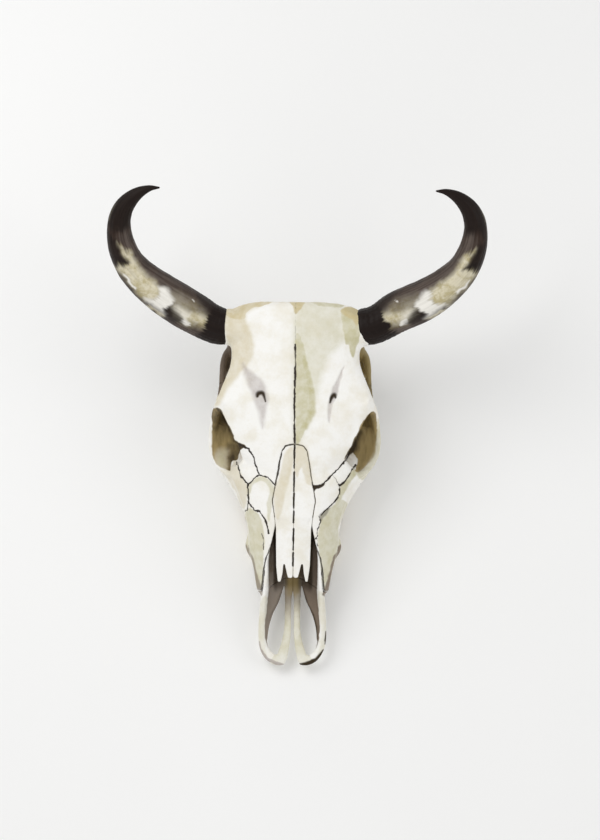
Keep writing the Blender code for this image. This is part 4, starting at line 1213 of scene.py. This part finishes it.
# Patches on the horn, as (mask, softness, strength, outline of (place along it, outwardness)), in percent
HORN_PATCHES = (
    ("grey", 0.45, 0.80, (
        (10, -75), (25, -85), (45, -90), (62, -95), (72, -55), (68, 10), (58, -20), (42, -10), (26, 10),
        (12, 0),
    )),
    ("grey", 0.20, 0.85, ((7, 50), (13, 62), (22, 72), (24, 98), (12, 110), (6, 95))),
    ("cream", 0.26, 0.97, (
        (65.5, 20), (62.5, -20), (60.5, -46), (56, -46), (50.2, -38), (45.6, -34), (41.3, -34),
        (36.7, -25), (34, 23), (34.8, 58), (36.2, 82), (40, 82), (43.1, 78), (46.5, 80), (50.6, 80),
        (55.2, 86), (55.6, 30), (56, 0), (59.4, 6),
    )),
    ("cream", 0.34, 0.92, (
        (25.5, 14), (20.3, -2), (15, -14), (9.5, -20), (6.2, 0), (7.2, 30), (12.5, 48), (18.2, 60),
        (20, 50), (23.5, 42),
    )),
    ("cream", 0.45, 0.42, (
        (29, -26), (20.3, -40), (14.5, -36), (11.2, -20), (15.7, -2), (20.3, 10), (25, 16),
    )),
    ("cream", 0.06, 0.75, ((33.5, 92), (30, 88), (25.5, 87), (27, 97), (33.5, 100))),
    ("cream", 0.08, 0.55, ((81.4, 98), (79, 86), (76.5, 85), (74.5, 90), (76, 100))),
    ("white", 0.20, 1.00, (
        (36.2, -12), (33.2, -33), (30, -22), (27, -4), (26.8, 26), (28, 56), (26.4, 72), (25.2, 82),
        (30.8, 82), (36.6, 80), (35.2, 58), (34.3, 23),
    )),
    ("white", 0.26, 0.60, ((25, 16), (20.5, 8), (17, 12), (18, 48), (23, 42))),
    ("white", 0.06, 0.95, ((19, 41), (14.6, 51), (14.8, 63), (18.4, 68))),
    # A painted highlight: a thin white streak along the horn's outer bend
    ("white", 0.05, 0.95, (
        (52.2, 74), (50.2, 68), (46.5, 68), (43.9, 60), (43.5, 76), (46.9, 81), (49.8, 81),
    )),
    ("white", 0.03, 0.85, ((19, -52), (18.2, -48), (17.4, -50), (18.2, -55))),
    ("black", 0.18, 0.78, (
        (27.8, 60), (25.8, 26), (23.4, 27), (19.2, 50), (17.4, 70), (20.6, 92), (24.8, 88),
    )),
    ("black", 0.20, 0.74, ((55.8, 6), (60, 18), (66.8, 32), (69, 100), (58, 105), (55.2, 72))),
    ("black", 0.40, 0.90, ((76, -110), (72, 0), (76, 120), (110, 120), (110, -120))),
    ("black", 0.40, 0.80, ((2, -120), (17, -110), (15, -55), (9, -35), (2, -30))),
)

# How far each sheath's lip reaches back over the skull, at the side away from the nose, at its top and at the
# side towards it, then how far the horn near its base lies away from the nose, and how much farther out its
# patches are
HORN_BASES = {1: (0.0095, 0.0132, 0.0088, 0.0060, 0.0), -1: (0.0002, 0.0020, 0.0066, 0.0, 0.013)}


def horn_rows(lift):
    """The horn's centre line with its radii, and how far along it each row is."""
    rows = eased(tenths(HORN_LINE), HORN_STEPS)
    steps = np.linalg.norm(np.diff(rows[:, :3], axis=0), axis=1)
    lengths = np.concatenate([[0], np.cumsum(steps)])
    rows[:, 1] += lift * np.exp(-((lengths / lengths[-1] - LIFT_PLACE) / LIFT_PLACE) ** 2)
    return rows, lengths


def horn_rings(rows, lengths, lips, seed):
    """Rings of points along the horn. The lip at its base is drawn back over the skull."""
    back, top, front = lips
    lean = np.sin(HORN_ANGLES)
    lip = top + 0.5 * (front - back) * lean + (0.5 * (front + back) - top) * lean * lean
    lip += 0.0007 * noise(np.stack([np.cos(HORN_ANGLES), lean, 0 * lean], axis=1), 0.35, seed)
    rings = []
    for i, row in enumerate(rows):
        ahead = rows[min(i + 1, len(rows) - 1), :3] - rows[max(i - 1, 0), :3]
        ahead /= np.linalg.norm(ahead)
        wide = np.array((0.0, 0.0, 1.0)) - ahead * ahead[2]
        wide /= np.linalg.norm(wide)
        other = np.cross(ahead, wide)
        rooted = max(0.0, 1 - lengths[i] / LIP_ROOT)
        radius = row[3] * (1 + 2.6 * lip * rooted ** 0.5 - 0.12 * math.exp(-lengths[i] / 0.0012))[:, None]
        ring = row[:3] + radius * (np.cos(HORN_ANGLES)[:, None] * wide + lean[:, None] * other)
        rings.append(ring - (lip * rooted ** 1.5)[:, None] * ahead)
    return np.concatenate(rings)


def horn_skin(radii, lengths, slide, seed):
    """The masks of the sheath's colours and the relief of its fibres and growth rings, for each point."""
    total = lengths[-1]
    reach = np.repeat(lengths / total, HORN_SIDES)
    around = np.tile(HORN_ANGLES, len(lengths))
    ring_place = np.stack([np.cos(around), np.sin(around), reach * total], axis=1)
    ring_place *= (GRAIN_RADIUS, GRAIN_RADIUS, 1)
    fibre_place = ring_place * (1.0, 1.0, 0.045)
    strands = noise(fibre_place, 0.0013, seed) + 0.6 * noise(fibre_place, 0.0030, seed + 1)
    fibre = 0.5 + 0.5 * np.clip(strands, -1, 1)
    bend = layered(ring_place * (1, 1, 0.4), 0.008, 3, seed + 2)
    spike = 0.022 * (fibre - 0.5) + 0.010 * bend
    facing = np.sin(around) + 0.09 * layered(ring_place, 0.012, 3, seed + 5)
    shown = reach + spike - slide * smooth_step(0.60, 0.45, reach)
    place = np.stack([shown * HORN_ASPECT, facing], axis=1)
    masks = {"fibre": fibre, **{key: 0 * reach for key in ("grey", "cream", "white", "black")}}
    upper = smooth_step(-0.75, 0.10, np.cos(around) + 0.25 * bend)
    for key, soft, strength, outline in HORN_PATCHES:
        found = strength * stain(place, np.array(outline) / 100 * (HORN_ASPECT, 1.0), soft)
        masks[key] = np.maximum(masks[key], found * (1.0 if key in ("grey", "black") else upper))
    masks["black"] = np.maximum(masks["black"], smooth_step(0.100, 0.078, reach + 1.6 * spike))
    masks["cream"] *= 0.80 + 0.20 * smooth_step(0.2, 0.6, fibre)
    rise = 0.00022 * (fibre - 0.5) * smooth_step(0.0, 0.02, 1 - reach)
    growth = np.sin(2 * math.pi * (reach * total / 0.0062 + 0.35 * bend))
    rise += 0.00016 * growth * smooth_step(0.30, 0.04, reach)
    rise += 0.00030 * layered(ring_place, 0.012, 3, seed + 9) * smooth_step(1.0, 0.7, reach)
    return masks, rise * np.clip(np.repeat(radii, HORN_SIDES) / 0.012, 0.1, 1)


def horn_faces(last):
    """The faces between the rings, and the fans from a point in the base and one at the tip."""
    faces = []
    base = (last + 1) * HORN_SIDES
    for j in range(HORN_SIDES):
        k = (j + 1) % HORN_SIDES
        faces.append((base, k, j))
        faces.append((base + 1, last * HORN_SIDES + j, last * HORN_SIDES + k))
        for low in range(0, last * HORN_SIDES, HORN_SIDES):
            high = low + HORN_SIDES
            faces.append((low + j, low + k, high + k, high + j))
    return faces


def horn(side, name, node, material, seed):
    """A horn sheath with growth rings near its base, long fibres, and the pale patches of the photo."""
    *lips, lift, slide = HORN_BASES[side]
    rows, lengths = horn_rows(lift)
    points = horn_rings(rows, lengths, lips, seed)
    masks, rise = horn_skin(rows[:, 3], lengths, slide, seed)
    outward = points - np.repeat(rows[:, :3], HORN_SIDES, axis=0)
    outward /= np.linalg.norm(outward, axis=1)[:, None]
    tip_ahead = rows[-1, :3] - rows[-2, :3]
    tip = rows[-1, :3] + 0.0009 * tip_ahead / np.linalg.norm(tip_ahead)
    points = np.vstack([points + outward * rise[:, None], rows[0, :3], tip])
    faces = horn_faces(len(rows) - 1)
    if side < 0:
        faces = [face[::-1] for face in faces]
    mesh = mesh_of(name, from_skull(points * (side, 1, 1)), faces)
    write_masks(mesh, {key: [*values, values[0], values[-1]] for key, values in masks.items()})
    return piece(name, mesh, material, "horn", node)


# Studio

FLOOR_HALF = 4.0


def floor():
    points = [(FLOOR_HALF * x, FLOOR_HALF * y, 0.0) for x, y in ((-1, -1), (1, -1), (1, 1), (-1, 1))]
    mesh = mesh_of("floor", points, [(0, 1, 2, 3)])
    mesh.materials.append(floor_material())
    thing = linked("floor", mesh)


# The lights as (name, place, size, power), the place that they face and the strength of the white around
LIGHTS = (
    ("key", (-1.1, 0.7, 1.9), 1.5, 20),
    ("fill", (1.8, -0.2, 1.5), 1.8, 10),
    ("front", (-0.3, -2.0, 0.8), 1.2, 5),
)
LIT_PLACE = Vector((0, 0, 0.1))
SKY_STRENGTH = 0.56


def area_light(name, place, size, power):
    data = bpy.data.lights.new(name, "AREA")
    data.shape = "SQUARE"
    data.size = size
    data.energy = power
    thing = linked(name, data)
    thing.location = place
    thing.rotation_euler = (LIT_PLACE - Vector(place)).to_track_quat("-Z", "Y").to_euler()


def lights():
    for light in LIGHTS:
        area_light(*light)
    world = bpy.data.worlds.new("studio")
    bpy.context.scene.world = world
    world.use_nodes = True
    background = world.node_tree.nodes["Background"]
    background.inputs["Color"].default_value = (1.0, 1.0, 1.0, 1.0)
    background.inputs["Strength"].default_value = SKY_STRENGTH


# The camera looks square on to the forehead. The photo is 600 pixels wide and shows 0.826 m there.
VIEW_WIDTH = 0.8262
VIEW_MIDDLE = (0.0070, -0.1610, 0.0)
VIEW_ROLL = math.radians(0.72)
LENS = 900.0
SENSOR = 36.0


def camera():
    data = bpy.data.cameras.new("camera")
    data.sensor_fit = "HORIZONTAL"
    data.sensor_width = SENSOR
    data.lens = LENS
    data.clip_end = 60.0
    back = Vector(SKULL_AXES[2])
    up = Matrix.Rotation(VIEW_ROLL, 3, back) @ Vector(SKULL_AXES[1])
    right = up.cross(back)
    turned = Matrix((right, up, back)).transposed()
    middle = Vector(from_skull(np.array(VIEW_MIDDLE)))
    thing = linked("camera", data)
    thing.matrix_world = Matrix.Translation(middle + back * VIEW_WIDTH * LENS / SENSOR) @ turned.to_4x4()
    bpy.context.scene.camera = thing


def main():
    camera()
    bone = bone_material()
    felt = hollowness()
    cranium(bone, felt)
    for side, word in ((1, "left"), (-1, "right")):
        nasal(side, f"nasal_bone_{word}", f"nasal_{word}", bone, felt)
        incisive(f"incisive_bone_{word}", f"incisive_{word}", bone, felt)
    enamel = tooth_material()
    sheath = horn_material()
    for side, word, seed in ((1, "left", 101), (-1, "right", 151)):
        teeth(side, f"teeth_{word}", enamel)
        horn(side, f"horn_sheath_{word}", f"horn_{word}", sheath, seed)
    floor()
    lights()
    bpy.context.scene.view_settings.view_transform = "Standard"


main()
